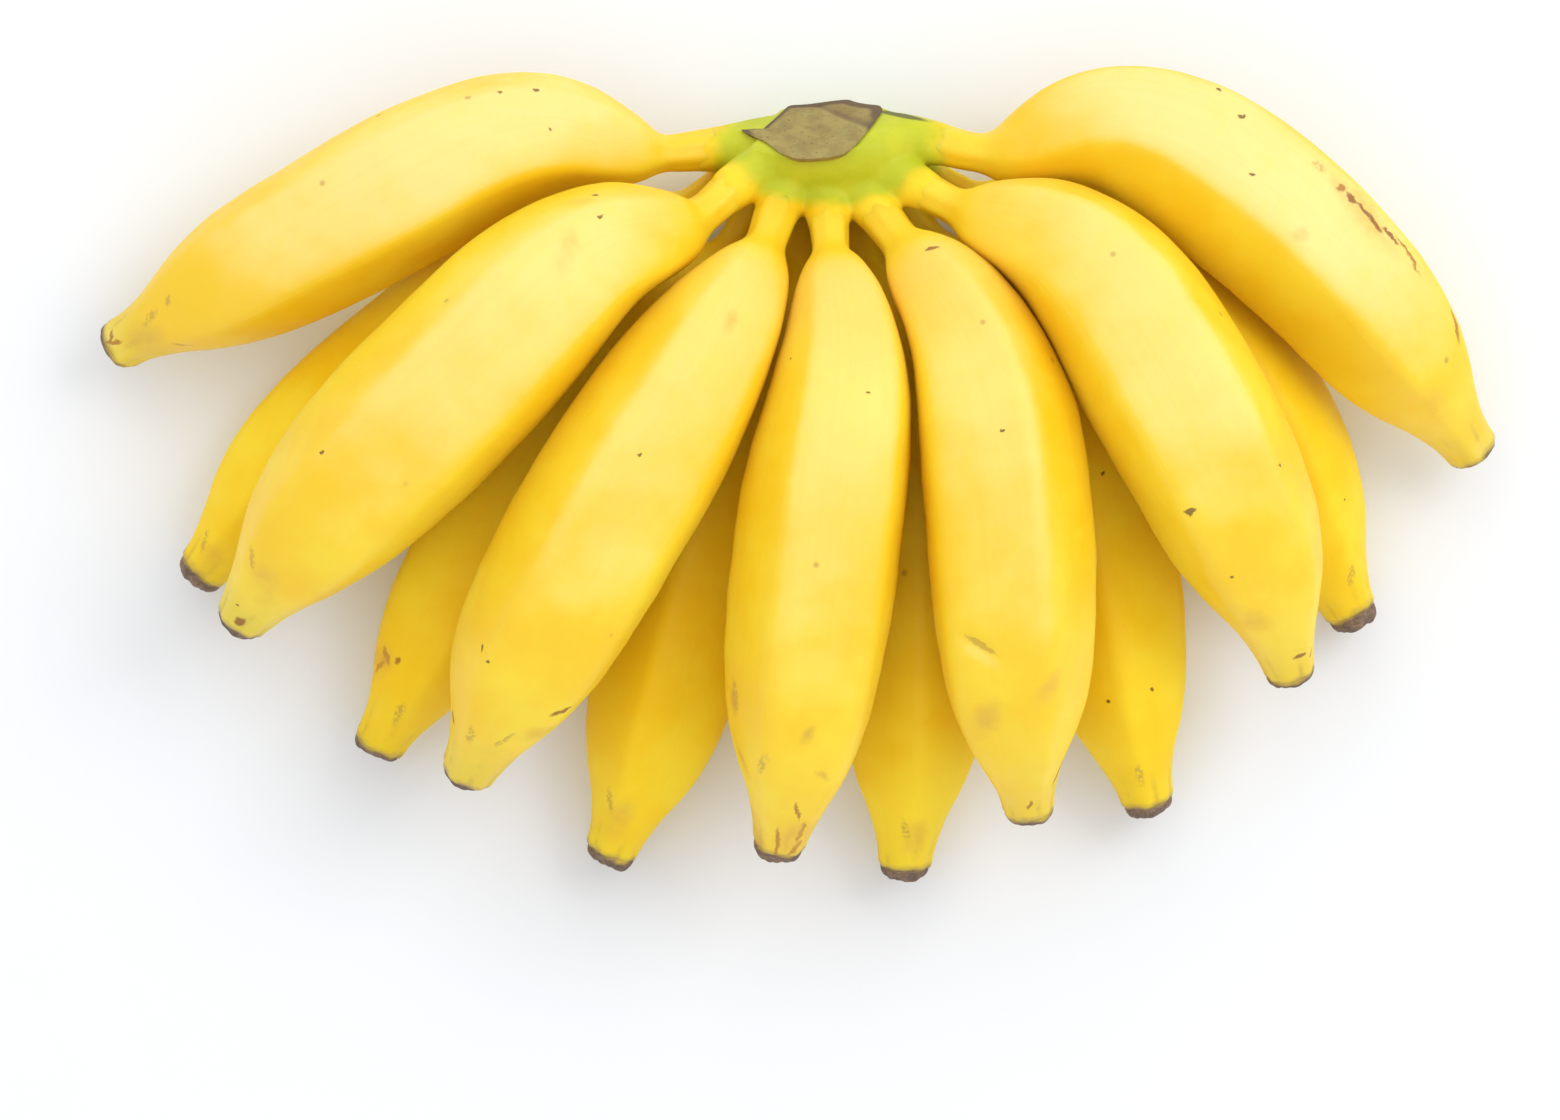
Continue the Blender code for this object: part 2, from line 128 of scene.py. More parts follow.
# Marks on the peel: kind, pixel in the photograph, length and width in millimetres, turn in degrees
MARKS = {
    "front_1": (
        ("freckle", 380, 115, 1.3, 0.7, 20), ("freckle", 500, 92, 1.1, 0.7, 0),
        ("freckle", 536, 89, 1.2, 0.8, 30), ("freckle", 550, 128, 0.8, 0.6, 0),
        ("scuff", 150, 318, 5, 1.6, 35), ("scuff", 183, 345, 3.5, 1.2, 20),
        ("scuff", 168, 300, 2.4, 1, 60), ("bruise", 145, 338, 9, 5, 30),
        ("rust", 113, 342, 3.6, 0.8, 10), ("rust", 111, 336, 2.4, 0.7, 80)),
    "front_2": (
        ("freckle", 595, 195, 1.2, 0.9, 0), ("freckle", 600, 216, 1, 0.7, 40),
        ("scuff", 240, 535, 8.5, 1.8, 80), ("scuff", 252, 560, 5, 1.2, 70),
        ("scar", 240, 622, 2.8, 1.6, 45), ("freckle", 238, 606, 0.9, 0.6, 0),
        ("bruise", 262, 585, 9, 5.5, 60), ("freckle", 322, 452, 0.9, 0.6, 10),
        ("bruise", 578, 202, 5.5, 2.6, 40), ("bruise", 566, 252, 7, 3.2, 70)),
    "front_3": (
        ("freckle", 482, 648, 1.4, 0.7, 60), ("freckle", 487, 661, 1, 0.6, 20),
        ("scar", 453, 716, 2.6, 1.2, 80), ("scar", 562, 712, 4.4, 0.9, 28),
        ("scuff", 505, 740, 5.5, 0.9, 60), ("scuff", 470, 735, 5, 1.6, 65),
        ("bruise", 540, 735, 8, 4, 40), ("freckle", 640, 455, 0.8, 0.6, 0),
        ("bruise", 730, 322, 5, 2, 60)),
    "front_4": (
        ("scuff", 735, 695, 6, 2.6, 75), ("scuff", 762, 765, 5, 1.6, 60),
        ("rust", 777, 842, 7.6, 0.8, 85), ("rust", 797, 812, 5, 0.6, -82),
        ("rust", 801, 832, 5.5, 0.8, 90), ("rust", 795, 848, 4.4, 0.9, 74),
        ("halo", 796, 840, 9, 6.5, 90), ("smudge", 741, 756, 7, 2.6, -45),
        ("smudge", 808, 735, 3.4, 1.8, 70), ("smudge", 822, 776, 3, 1.3, -50),
        ("smudge", 733, 702, 4.4, 2.6, 80), ("smudge", 757, 838, 6, 3.4, -55),
        ("bruise", 750, 800, 10, 5, 70), ("freckle", 868, 392, 0.9, 0.6, 0),
        ("freckle", 790, 360, 0.7, 0.5, 0)),
    "front_5": (
        ("crease", 980, 646, 6.5, 1.1, -30), ("bruise", 1050, 690, 6.5, 3.2, 60),
        ("scar", 1059, 770, 6, 0.9, 78), ("rust", 1030, 805, 2.4, 0.9, 90),
        ("scar", 932, 248, 2.8, 0.8, 8), ("freckle", 1002, 430, 0.8, 0.6, 0),
        ("bruise", 985, 720, 8, 4, 60)),
    "front_6": (
        ("freckle", 1190, 512, 1.8, 1.3, 30), ("freckle", 1233, 577, 0.9, 0.6, 0),
        ("freckle", 1280, 465, 0.9, 0.6, 0), ("scar", 1300, 656, 2.6, 1, 20),
        ("scar", 1311, 652, 1.6, 0.8, 60), ("scuff", 1316, 635, 5.5, 1.4, 80),
        ("bruise", 1250, 620, 8, 4, -50)),
    "front_7": (
        ("halo", 1366, 214, 15, 5, -46), ("halo", 1341, 188, 4, 2.6, -45),
        ("rust", 1341, 188, 2, 1.4, 0), ("scar", 1352, 198, 2.6, 1.4, -45),
        ("scar", 1364, 210, 4.4, 0.8, -47), ("scar", 1376, 223, 4.4, 1.2, -45),
        ("scar", 1391, 235, 4.6, 0.7, -42), ("rust", 1409, 255, 8, 0.7, -50),
        ("rust", 1456, 325, 7, 0.9, -60), ("freckle", 1219, 90, 1.1, 0.8, 0),
        ("freckle", 1242, 116, 1.4, 0.9, 30), ("freckle", 1252, 175, 1.2, 0.8, 0),
        ("bruise", 1300, 235, 3, 2.2, 0), ("scuff", 1319, 166, 2.6, 1.6, -30),
        ("bruise", 1440, 410, 9, 4, -50)),
    "back_1": (("scuff", 205, 540, 4.5, 1.4, 60), ("bruise", 210, 560, 7, 4, 60)),
    "back_2": (
        ("rust", 386, 655, 3.4, 1.1, -75), ("rust", 380, 665, 3.6, 1, 35),
        ("rust", 374, 656, 2.6, 0.9, 60), ("halo", 379, 661, 7, 5, 30), ("rust", 398, 661, 1.4, 1.1, 0),
        ("scuff", 398, 715, 5, 1.4, 60)),
    "back_3": (
        ("scar", 700, 790, 3.4, 0.7, 60), ("scuff", 610, 800, 5, 1.4, 75),
        ("bruise", 620, 820, 8, 4, 70)),
    "back_4": (("scuff", 905, 830, 4.5, 1.3, 90), ("bruise", 915, 840, 8, 4, 90)),
    "back_5": (
        ("freckle", 1103, 473, 1, 0.7, 0), ("freckle", 1108, 702, 1.1, 0.8, 0),
        ("freckle", 1152, 690, 1, 0.8, 0), ("scuff", 1140, 775, 4.5, 1.4, 100)),
    "back_6": (("scuff", 1352, 575, 4.5, 1.4, 100), ("freckle", 1345, 500, 0.9, 0.6, 0)),
}

# Colour, strength and softness of each kind of mark
MARK_LOOKS = {
    "freckle": ((0.16, 0.07, 0.015), 0.85, 0.55),
    "scuff": ((0.42, 0.26, 0.06), 0.55, 0.9),
    "scar": ((0.25, 0.08, 0.018), 0.85, 0.7),
    "rust": ((0.40, 0.16, 0.02), 0.85, 0.8),
    "halo": ((0.72, 0.40, 0.06), 0.6, 1.4),
    "crease": ((0.52, 0.30, 0.05), 0.6, 0.8),
    "bruise": ((0.68, 0.40, 0.06), 0.55, 1.5),
    "smudge": ((0.56, 0.29, 0.05), 0.5, 1.7),
}

# Oval of green at the crown: its middle from the crown's middle, and its half sizes, in millimetres
GREEN_MIDDLE = (0.9, 0.0, 19.0)
GREEN_SIZE = (22.2, 12.8, 16.0)

# Thin dry line on the crown beside the cut: middle from the crown's middle, half sizes in millimetres, turn
DRY_EDGE_MIDDLE = (14.6, 6.1, 19.0)
DRY_EDGE_SIZE = (5.6, 0.55, 8.0)
DRY_EDGE_TURN = 0.25

# Direction of the light, toward which the peel is painted palest as a painted sheen, and how strong this
# painted sheen is on each banana of the upper row; the lower row, in shade, gets none
SHEEN_LIGHT_SIDE = (0.12, 0.38, 0.92)
PAINTED_SHEEN = {
    "front_1": 1.0, "front_2": 0.75, "front_3": 0.6, "front_4": 0.55, "front_5": 0.6, "front_6": 0.7,
    "front_7": 1.0,
}

# How squarely the peel faces the light where the painted sheen starts, and the shares of length over which it
# starts
SHEEN_REACH = {"front_1": 0.52, "front_2": 0.58, "front_7": 0.58}
SHEEN_REACH_ELSEWHERE = 0.66
SHEEN_START = {"front_1": (0.06, 0.15)}
SHEEN_START_ELSEWHERE = (0.08, 0.18)

# Length of the withered end of each banana, in millimetres from the end of its tip
WITHERED = {
    "front_1": 1.5, "front_2": 2.2, "front_3": 1.7, "front_4": 3.1, "front_5": 1.9, "front_6": 1.8,
    "front_7": 1.2, "back_1": 2.6, "back_2": 1.9, "back_3": 2.6, "back_4": 2.5, "back_5": 2.9, "back_6": 3.3,
}

# How dull and green each nose is before its withered end
DULL_NOSES = {
    "front_1": 0.5, "front_2": 0.7, "front_3": 0.6, "front_5": 0.35, "front_6": 0.35, "front_7": 0.4,
}
DULL_ELSEWHERE = 0.22

# Warm tint where these bananas swell from their stalks
WARM_SHOULDERS = {"front_3": 0.35, "front_4": 0.6, "front_5": 0.55, "front_6": 0.3}

# Tints of the ripe peel, and colours of its withered end
SHOULDER_TINT = (0.95, 0.62, 0.11)
PATCH_TINT = (0.95, 0.70, 0.03)
FIBRE_TINT = (0.86, 0.48, 0.02)
RIDGE_TINT = (0.84, 0.58, 0.03)
PUCKER_TINT = (0.36, 0.19, 0.04)
FLECK_TINT = (0.34, 0.17, 0.03)
DRY_TAN = (0.47, 0.30, 0.07)
DRY_DARK_BROWN = (0.10, 0.062, 0.055)
DRY_LIGHT_BROWN = (0.25, 0.16, 0.11)
DRY_SPECK = (0.46, 0.32, 0.17)
DRY_PIT = (0.045, 0.025, 0.02)
DRY_FOLD = (0.03, 0.018, 0.014)

# Dents that show as shape: pixel in the photograph, length, width, depth in millimetres, turn in degrees
DENTS = {
    "front_1": ((300, 190, 22, 8, 0.35, 30), (520, 120, 14, 8, 0.3, 10)),
    "front_2": ((420, 420, 24, 9, 0.4, 50), (300, 540, 14, 8, 0.35, 55)),
    "front_3": ((600, 520, 26, 8, 0.4, 62), (545, 655, 12, 8, 0.35, 60)),
    "front_4": ((800, 690, 20, 8, 0.45, 85), (835, 470, 26, 9, 0.3, 88)),
    "front_5": ((980, 648, 8, 2.4, 0.75, -30), (1050, 690, 10, 7, 0.4, 80), (1010, 470, 24, 8, 0.3, 95)),
    "front_6": ((1180, 420, 24, 9, 0.35, -58), (1255, 590, 12, 7, 0.35, -60)),
    "front_7": (
        (1380, 225, 10, 4, 0.3, -48), (1230, 190, 24, 9, 0.35, -38), (1420, 400, 14, 7, 0.35, -48)),
}


def row_place(point):
    """A point of the hand, given from the crown's middle in millimetres, in the frame in metres."""
    return (Vector(point) + Vector(CROWN_PLACE)) * MM


def camera_place():
    """The camera's place, straight above the middle of the photograph."""
    shrink = (CAMERA_DISTANCE - (CROWN_TOP - SHARP_HEIGHT)) / CAMERA_DISTANCE
    across = (PHOTO_WIDTH / 2 - CROWN_PIXEL[0]) * MM_PER_PIXEL * shrink
    down = (CROWN_PIXEL[1] - PHOTO_HEIGHT / 2) * MM_PER_PIXEL * shrink
    return Vector((CROWN_PLACE[0] + across, CROWN_PLACE[1] + down, SHARP_HEIGHT + CAMERA_DISTANCE)) * MM


def pixel_ray(pixel_x, pixel_y):
    """Start and direction of the sight line through a pixel of the photograph."""
    right = (pixel_x - PHOTO_WIDTH / 2) * MM_PER_PIXEL
    up = (PHOTO_HEIGHT / 2 - pixel_y) * MM_PER_PIXEL
    return camera_place(), Vector((right, up, -CAMERA_DISTANCE)).normalized()


def colour_setting(name, description, default):
    """Colour that the panel shows."""
    return bpy.props.FloatVectorProperty(
        name=name, description=description, subtype="COLOR", size=3, default=default, min=0, max=1)


class PeelLook(bpy.types.PropertyGroup):
    """Colours and finish of the peel."""

    bright: colour_setting("Bright yellow", "Peel where it is ripest", (0.94, 0.685, 0.026))
    deep: colour_setting("Deep yellow", "Warmer patches of the peel", (0.915, 0.59, 0.008))
    # Pale yellow of the painted sheen, laid where the upper row faces the light
    sheen_colour: colour_setting("Pale yellow", "Wax bloom on the upper sides", (0.95, 0.73, 0.24))
    green: colour_setting("Green", "Stalks and crown that have not ripened", (0.50, 0.56, 0.035))
    nose: colour_setting("Nose", "Dull green yellow before the dry tip", (0.68, 0.55, 0.06))
    roughness: bpy.props.FloatProperty(
        name="Roughness", description="Waxy sheen of the peel", default=0.46, min=0, max=1, subtype="FACTOR")
    green_reach: bpy.props.FloatProperty(
        name="Green reach", description="Size of the green oval at the crown, as a share of its own size",
        default=1.0, min=0.2, max=3)


class MeshDetail(bpy.types.PropertyGroup):
    """Fineness of the modelled pieces."""

    sides: bpy.props.IntProperty(
        name="Sides", description="Faces round a banana, a multiple of five", default=80, min=20, max=160)
    stations: bpy.props.IntProperty(
        name="Stations", description="Rings along a banana", default=170, min=40, max=400)
    ridge: bpy.props.FloatProperty(
        name="Ridge", description="How far the rounded section goes toward a pentagon", default=0.75,
        min=0, max=1, subtype="FACTOR")
    crown_voxel: bpy.props.FloatProperty(
        name="Crown voxel", description="Cell size of the crown's skin", default=0.00042, unit="LENGTH")


class StudioLook(bpy.types.PropertyGroup):
    """Light and floor."""

    sky: bpy.props.FloatProperty(
        name="Sky strength", description="Even white light from all sides", default=1.0, min=0)
    key: bpy.props.FloatProperty(
        name="Key power", description="Soft light from the right", default=3.6, min=0, unit="POWER")
    floor: colour_setting("Floor", "Pale table", (0.87, 0.885, 0.915))


# Curves and girths shared by all bananas


def spline_table(knots, values):
    """Second derivatives of the natural cubic spline through the values."""
    count = len(knots)
    matrix = np.eye(count)
    right = np.zeros((count, values.shape[1]))
    steps = np.diff(knots)
    for i in range(1, count - 1):
        matrix[i, i - 1] = steps[i - 1]
        matrix[i, i] = 2 * (steps[i - 1] + steps[i])
        matrix[i, i + 1] = steps[i]
        slope_after = (values[i + 1] - values[i]) / steps[i]
        slope_before = (values[i] - values[i - 1]) / steps[i - 1]
        right[i] = 6 * (slope_after - slope_before)
    return np.linalg.solve(matrix, right)


def spline_points(knots, values, where):
    """Points of the natural cubic spline at the given places."""
    second = spline_table(knots, values)
    i = np.clip(np.searchsorted(knots, where) - 1, 0, len(knots) - 2)
    step = (knots[i + 1] - knots[i])[:, None]
    a = (knots[i + 1] - where)[:, None] / step
    b = (where - knots[i])[:, None] / step
    bend = ((a ** 3 - a) * second[i] + (b ** 3 - b) * second[i + 1]) * step ** 2 / 6
    return a * values[i] + b * values[i + 1] + bend


def even_path(points, fractions):
    """Centreline points, in millimetres in the frame, at shares of the curve's length, and that length."""
    values = np.array(points, dtype=float) + np.array(CROWN_PLACE)
    knots = np.concatenate(([0.0], np.cumsum(np.linalg.norm(np.diff(values, axis=0), axis=1))))
    dense = spline_points(knots, values, np.linspace(0.0, knots[-1], 481))
    lengths = np.concatenate(([0.0], np.cumsum(np.linalg.norm(np.diff(dense, axis=0), axis=1))))
    wanted = np.array(fractions) * lengths[-1]
    path = np.column_stack([np.interp(wanted, lengths, dense[:, axis]) for axis in range(3)])
    for end, beside, past in ((0, 1, -wanted), (-1, -2, wanted - lengths[-1])):
        outward = dense[end] - dense[beside]
        path = path + np.outer(np.maximum(past, 0.0), outward / np.linalg.norm(outward))
    return path, lengths[-1]


def girth(fractions, full_radius):
    """Mean radius of a banana at shares of its length, with no corners in the outline."""
    knots = [0.0, STALK_END] + [place for place, share in PROFILE] + [1.0]
    radii = [STALK_RADIUS + STALK_FLARE, STALK_RADIUS] + [share * full_radius for place, share in PROFILE]
    radii.append(NOSE_RADIUS)
    spread = np.linspace(-0.015, 0.015, 7)
    samples = [np.interp(np.clip(fractions + shift, 0.0, 1.0), knots, radii) for shift in spread]
    return np.mean(samples, axis=0)


def path_frames(path):
    """Unit vectors along, beside and above a path at each of its points."""
    along = np.gradient(path, axis=0)
    along /= np.linalg.norm(along, axis=1)[:, None]
    side = np.cross(along, np.array((0.0, 0.0, 1.0)))
    side /= np.linalg.norm(side, axis=1)[:, None]
    return along, side, np.cross(side, along)


def soft_step(value, low, high):
    """Smooth rise from 0 at low to 1 at high."""
    share = np.clip((value - low) / (high - low), 0.0, 1.0)
    return share * share * (3 - 2 * share)


def pentagon(angles):
    """Radius of a pentagon with softened corners, as a share above or below its mean."""
    corner = math.tau / 5
    from_ridge = np.abs(np.mod(angles + corner / 2, corner) - corner / 2)
    from_middle = math.hypot(corner / 2, RIDGE_SOFTNESS) - np.hypot(from_ridge, RIDGE_SOFTNESS)
    shape = 1.0 / np.cos(from_middle)
    return shape / shape.mean() - 1.0


def outside(points, line):
    """Distance of each point outside the skin of one banana, negative inside it, in millimetres."""
    path, radii = line
    squares = (points ** 2).sum(axis=1)[:, None] + (path ** 2).sum(axis=1)[None, :] - 2 * points @ path.T
    return (np.sqrt(np.maximum(squares, 0.0)) - radii[None, :]).min(axis=1)


def room_left(points, own, others):
    """How much further each point lies from its nearest neighbour than from its own banana."""
    return np.min([outside(points, line) for line in others], axis=0) - outside(points, own)


def press_apart(points, centres, own, others):
    """Share of each spoke that stays when a banana is flattened against its neighbours."""
    shares = np.ones(len(points))
    touching = np.flatnonzero(room_left(points, own, others) < PRESS_GAP)
    base = centres[touching]
    spokes = points[touching] - base
    low = np.zeros(len(touching))
    high = np.ones(len(touching))
    for turn in range(PRESS_ROUNDS):
        middle = (low + high) / 2
        clear = room_left(base + spokes * middle[:, None], own, others) >= PRESS_GAP
        low = np.where(clear, middle, low)
        high = np.where(clear, high, middle)
    shares[touching] = low
    return shares


def ease_edges(shares):
    """Round the rim of each flattened patch without growing past it."""
    eased = shares.copy()
    for turn in range(10):
        spread = (np.roll(eased, 1, axis=1) + np.roll(eased, -1, axis=1)) / 4 + eased / 2
        inner = spread.copy()
        inner[1:-1] = spread[1:-1] / 2 + (spread[:-2] + spread[2:]) / 4
        eased = np.minimum(shares, inner)
    return eased


def centre_lines():
    """Dense centreline and radii of every banana, by name."""
    fractions = np.linspace(0.0, 1.0, LINE_SAMPLES)
    return {
        name: (even_path(points, fractions)[0], girth(fractions, full_radius))
        for name, (full_radius, turn, points) in BANANAS.items()
    }


# Mesh helpers


def tube_grid(sides, stations, *shares):
    """Closed tube of quads, its vertices by station and side, and a layer for each named share."""
    bm = bmesh.new()
    bm.loops.layers.uv.new("peel")
    for name in shares:
        bm.verts.layers.float.new(name)
    bmesh.ops.create_cone(
        bm, cap_ends=True, cap_tris=False, segments=sides, radius1=1.0, radius2=1.0, depth=1.0,
        matrix=Matrix.Translation((0, 0, 0.5)))
    uprights = [edge for edge in bm.edges if abs(edge.verts[0].co.z - edge.verts[1].co.z) > 0.5]
    bmesh.ops.subdivide_edges(bm, edges=uprights, cuts=stations - 2, use_grid_fill=True)
    grid = [[None] * sides for station in range(stations)]
    for vertex in bm.verts:
        side = round(math.atan2(vertex.co.y, vertex.co.x) / math.tau * sides) % sides
        grid[round(vertex.co.z * (stations - 1))][side] = vertex
    return bm, grid, [bm.verts.layers.float[name] for name in shares]


def place_grid(grid, places):
    """Move the vertices of a grid to places given in millimetres in the frame."""
    for row, row_places in zip(grid, places):
        for vertex, place in zip(row, row_places):
            vertex.co = Vector(place) * MM


def wrap_map(bm, grid, along, around):
    """UV map of a tube: length along it and share of a turn round it, both as real lengths in metres."""
    layer = bm.loops.layers.uv["peel"]
    where = {vertex: (row, side) for row, line in enumerate(grid) for side, vertex in enumerate(line)}
    sides = len(grid[0])
    for face in bm.faces:
        wraps = {where[loop.vert][1] for loop in face.loops} >= {0, sides - 1} and len(face.loops) == 4
        for loop in face.loops:
            row, side = where[loop.vert]
            turn = sides if wraps and side == 0 else side
            loop[layer].uv = (along[row], around * turn / sides)


def finish_mesh(bm, name, material):
    """Object made from the mesh, smooth shaded, with faces outward."""
    bmesh.ops.recalc_face_normals(bm, faces=bm.faces)
    mesh = bpy.data.meshes.new(name)
    bm.to_mesh(mesh)
    bm.free()
    mesh.shade_smooth()
    if material is not None:
        mesh.materials.append(material)
    piece = bpy.data.objects.new(name, mesh)
    bpy.context.collection.objects.link(piece)
    return piece


def dress(piece, node):
    """Let a finished piece stand for its CAD node."""
    if len(piece.data.polygons) == 0:
        raise RuntimeError("%s has no faces" % piece.name)
    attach(piece, ROOT)
    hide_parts(node)


def skin_tree(places):
    """Search tree over a grid of places in millimetres, for sight lines from the camera."""
    rows, sides = places.shape[:2]
    corners = [Vector(place) * MM for place in places.reshape(-1, 3)]
    faces = []
    for row in range(rows - 1):
        for side in range(sides):
            after = (side + 1) % sides
            near, far = row * sides, (row + 1) * sides
            faces.append((near + side, near + after, far + after, far + side))
    return BVHTree.FromPolygons(corners, faces)


def seen_spot(tree, pixel_x, pixel_y, turn):
    """Point on the skin behind a pixel, with a turn that lays X along the mark and Z out of the skin."""
    start, direction = pixel_ray(pixel_x, pixel_y)
    point, normal, face, distance = tree.ray_cast(start, direction)
    if point is None:
        return None
    if normal.z < 0:
        normal = -normal
    heading = Vector((math.cos(math.radians(turn)), math.sin(math.radians(turn)), 0))
    heading = (heading - normal * heading.dot(normal)).normalized()
    across = normal.cross(heading)
    return point, Matrix((heading, across, normal)).transposed()


# Node helpers


class Sheet:
    """Node tree of one material, with short calls for the nodes that the finishes use."""

    def __init__(self, name):
        self.material = bpy.data.materials.new(name)
        self.material.use_nodes = True
        self.tree = self.material.node_tree
        self.shader = self.tree.nodes["Principled BSDF"]

    def node(self, kind, settings=None, **sockets):
        """New node, with settings by attribute and sockets by name, each a value or another socket."""
        made = self.tree.nodes.new(kind)
        for key, value in (settings or {}).items():
            setattr(made, key, value)
        for key, value in sockets.items():
            self.feed(made.inputs[key.replace("_", " ")], value)
        return made

    def feed(self, socket, value):
        """Link or set one input."""
        if isinstance(value, bpy.types.NodeSocket):
            self.tree.links.new(value, socket)
        else:
            socket.default_value = value

    def maths(self, operation, first, second):
        """Result of a Math node."""
        made = self.node("ShaderNodeMath", {"operation": operation})
        self.feed(made.inputs[0], first)
        self.feed(made.inputs[1], second)
        return made.outputs[0]

    def times(self, first, second):
        """Product of two values."""
        return self.maths("MULTIPLY", first, second)

    def plus(self, first, second):
        """Sum of two values."""
        return self.maths("ADD", first, second)

    def swing(self, value, reach):
        """Value from its middle of one half, scaled."""
        return self.times(self.maths("SUBTRACT", value, 0.5), reach)

    def vector(self, operation, first, second=(0, 0, 0)):
        """Result of a node that works on two vectors, which is a value for a length or a product."""
        made = self.node("ShaderNodeVectorMath", {"operation": operation})
        self.feed(made.inputs[0], first)
        self.feed(made.inputs[1], second)
        return made.outputs["Value" if operation in ("LENGTH", "DOT_PRODUCT") else "Vector"]

    def attribute(self, name):
        """Share stored on the mesh under a name."""
        return self.node("ShaderNodeAttribute", {"attribute_name": name}).outputs["Fac"]

    def ramp(self, value, low, high, to_low=0.0, to_high=1.0):
        """Value carried smoothly from one range to another."""
        made = self.node("ShaderNodeMapRange", {"interpolation_type": "SMOOTHSTEP"})
        for socket, number in zip(made.inputs, (value, low, high, to_low, to_high)):
            self.feed(socket, number)
        return made.outputs["Result"]

    def mix(self, factor, first, second):
        """Colour between two colours."""
        made = self.node("ShaderNodeMix", {"data_type": "RGBA", "clamp_factor": True})
        self.feed(made.inputs[0], factor)
        self.feed(made.inputs[6], solid(first))
        self.feed(made.inputs[7], solid(second))
        return made.outputs[2]

    def tint(self, colour, shade, value, low, high, strength=1.0):
        """Colour drawn toward a shade as a value goes from low to high."""
        return self.mix(self.ramp(value, low, high, 0.0, strength), colour, shade)

    def noise(self, coordinates, scale, detail=3.0, rough=0.5, distortion=0.0):
        """Cloudy pattern, as a value."""
        return self.node(
            "ShaderNodeTexNoise", Vector=coordinates, Scale=scale, Detail=detail, Roughness=rough,
            Distortion=distortion).outputs["Fac"]

    def stretched(self, coordinates, scale):
        """Coordinates scaled by axis."""
        return self.node("ShaderNodeMapping", Vector=coordinates, Scale=scale).outputs[0]

    def place(self):
        """Object coordinates."""
        return self.node("ShaderNodeTexCoord").outputs["Object"]

    def bump(self, height, distance, strength, normal=None):
        """Normal from a height, on top of another normal."""
        made = self.node("ShaderNodeBump", Height=height, Distance=distance, Strength=strength)
        if normal is not None:
            self.feed(made.inputs["Normal"], normal)
        return made.outputs[0]

    def finish(self, colour, roughness, normal=None, specular=0.5, subsurface=()):
        """Feed the shader and give the material. Subsurface is its weight, radius and scale."""
        inputs = self.shader.inputs
        self.feed(inputs["Base Color"], colour)
        self.feed(inputs["Roughness"], roughness)
        self.feed(inputs["Specular IOR Level"], specular)
        for key, value in zip(("Weight", "Radius", "Scale"), subsurface):
            self.feed(inputs["Subsurface " + key], value)
        if normal is not None:
            self.feed(inputs["Normal"], normal)
        return self.material


def solid(colour):
    """A colour with its alpha, or a socket left as it is."""
    if isinstance(colour, bpy.types.NodeSocket) or len(colour) == 4:
        return colour
    return (*colour, 1.0)


def unripe_share(sheet, place, reach):
    """Green share within a flat oval round the crown, broken up a little."""
    local = sheet.vector("SUBTRACT", place, row_place(GREEN_MIDDLE))
    local = sheet.vector("DIVIDE", local, Vector(GREEN_SIZE) * MM * reach)
    away = sheet.plus(sheet.vector("LENGTH", local), sheet.swing(sheet.noise(place, 170.0, 2.0), 0.22))
    return sheet.ramp(away, 0.88, 1.10, 1.0, 0.0)


def mark_share(sheet, place, spot, length, width, softness):
    """Share of one irregular mark at its spot on the skin."""
    point, turn = spot
    local = sheet.node(
        "ShaderNodeMapping", {"vector_type": "TEXTURE"}, Vector=place, Location=point,
        Rotation=turn.to_euler(), Scale=Vector((length, width, length)) * MM / 2).outputs[0]
    return sheet.ramp(sheet.vector("LENGTH", local), 1 - softness / 2, 1 + softness / 2, 1.0, 0.0)


def wither(sheet, place, colour, beyond):
    """Peel that dries to tan and then to brown, by the millimetres past the start of its withered end."""
    clouds = sheet.noise(place, 420.0, 4.0, 0.65)
    fine = sheet.noise(place, 1700.0, 4.0, 0.65)
    broad = sheet.noise(place, 170.0, 2.0, 0.5)
    beyond = sheet.plus(beyond, sheet.plus(sheet.swing(clouds, 1.6), sheet.swing(broad, 3.0)))
    colour = sheet.tint(colour, DRY_TAN, beyond, -1.4, 0.2, 0.7)
    brown = sheet.mix(sheet.ramp(clouds, 0.35, 0.68), DRY_DARK_BROWN, DRY_LIGHT_BROWN)
    brown = sheet.tint(brown, DRY_SPECK, fine, 0.56, 0.74, 0.7)
    brown = sheet.tint(brown, DRY_PIT, fine, 0.45, 0.32, 0.6)
    return sheet.tint(colour, brown, beyond, -0.2, 0.8, 0.95)


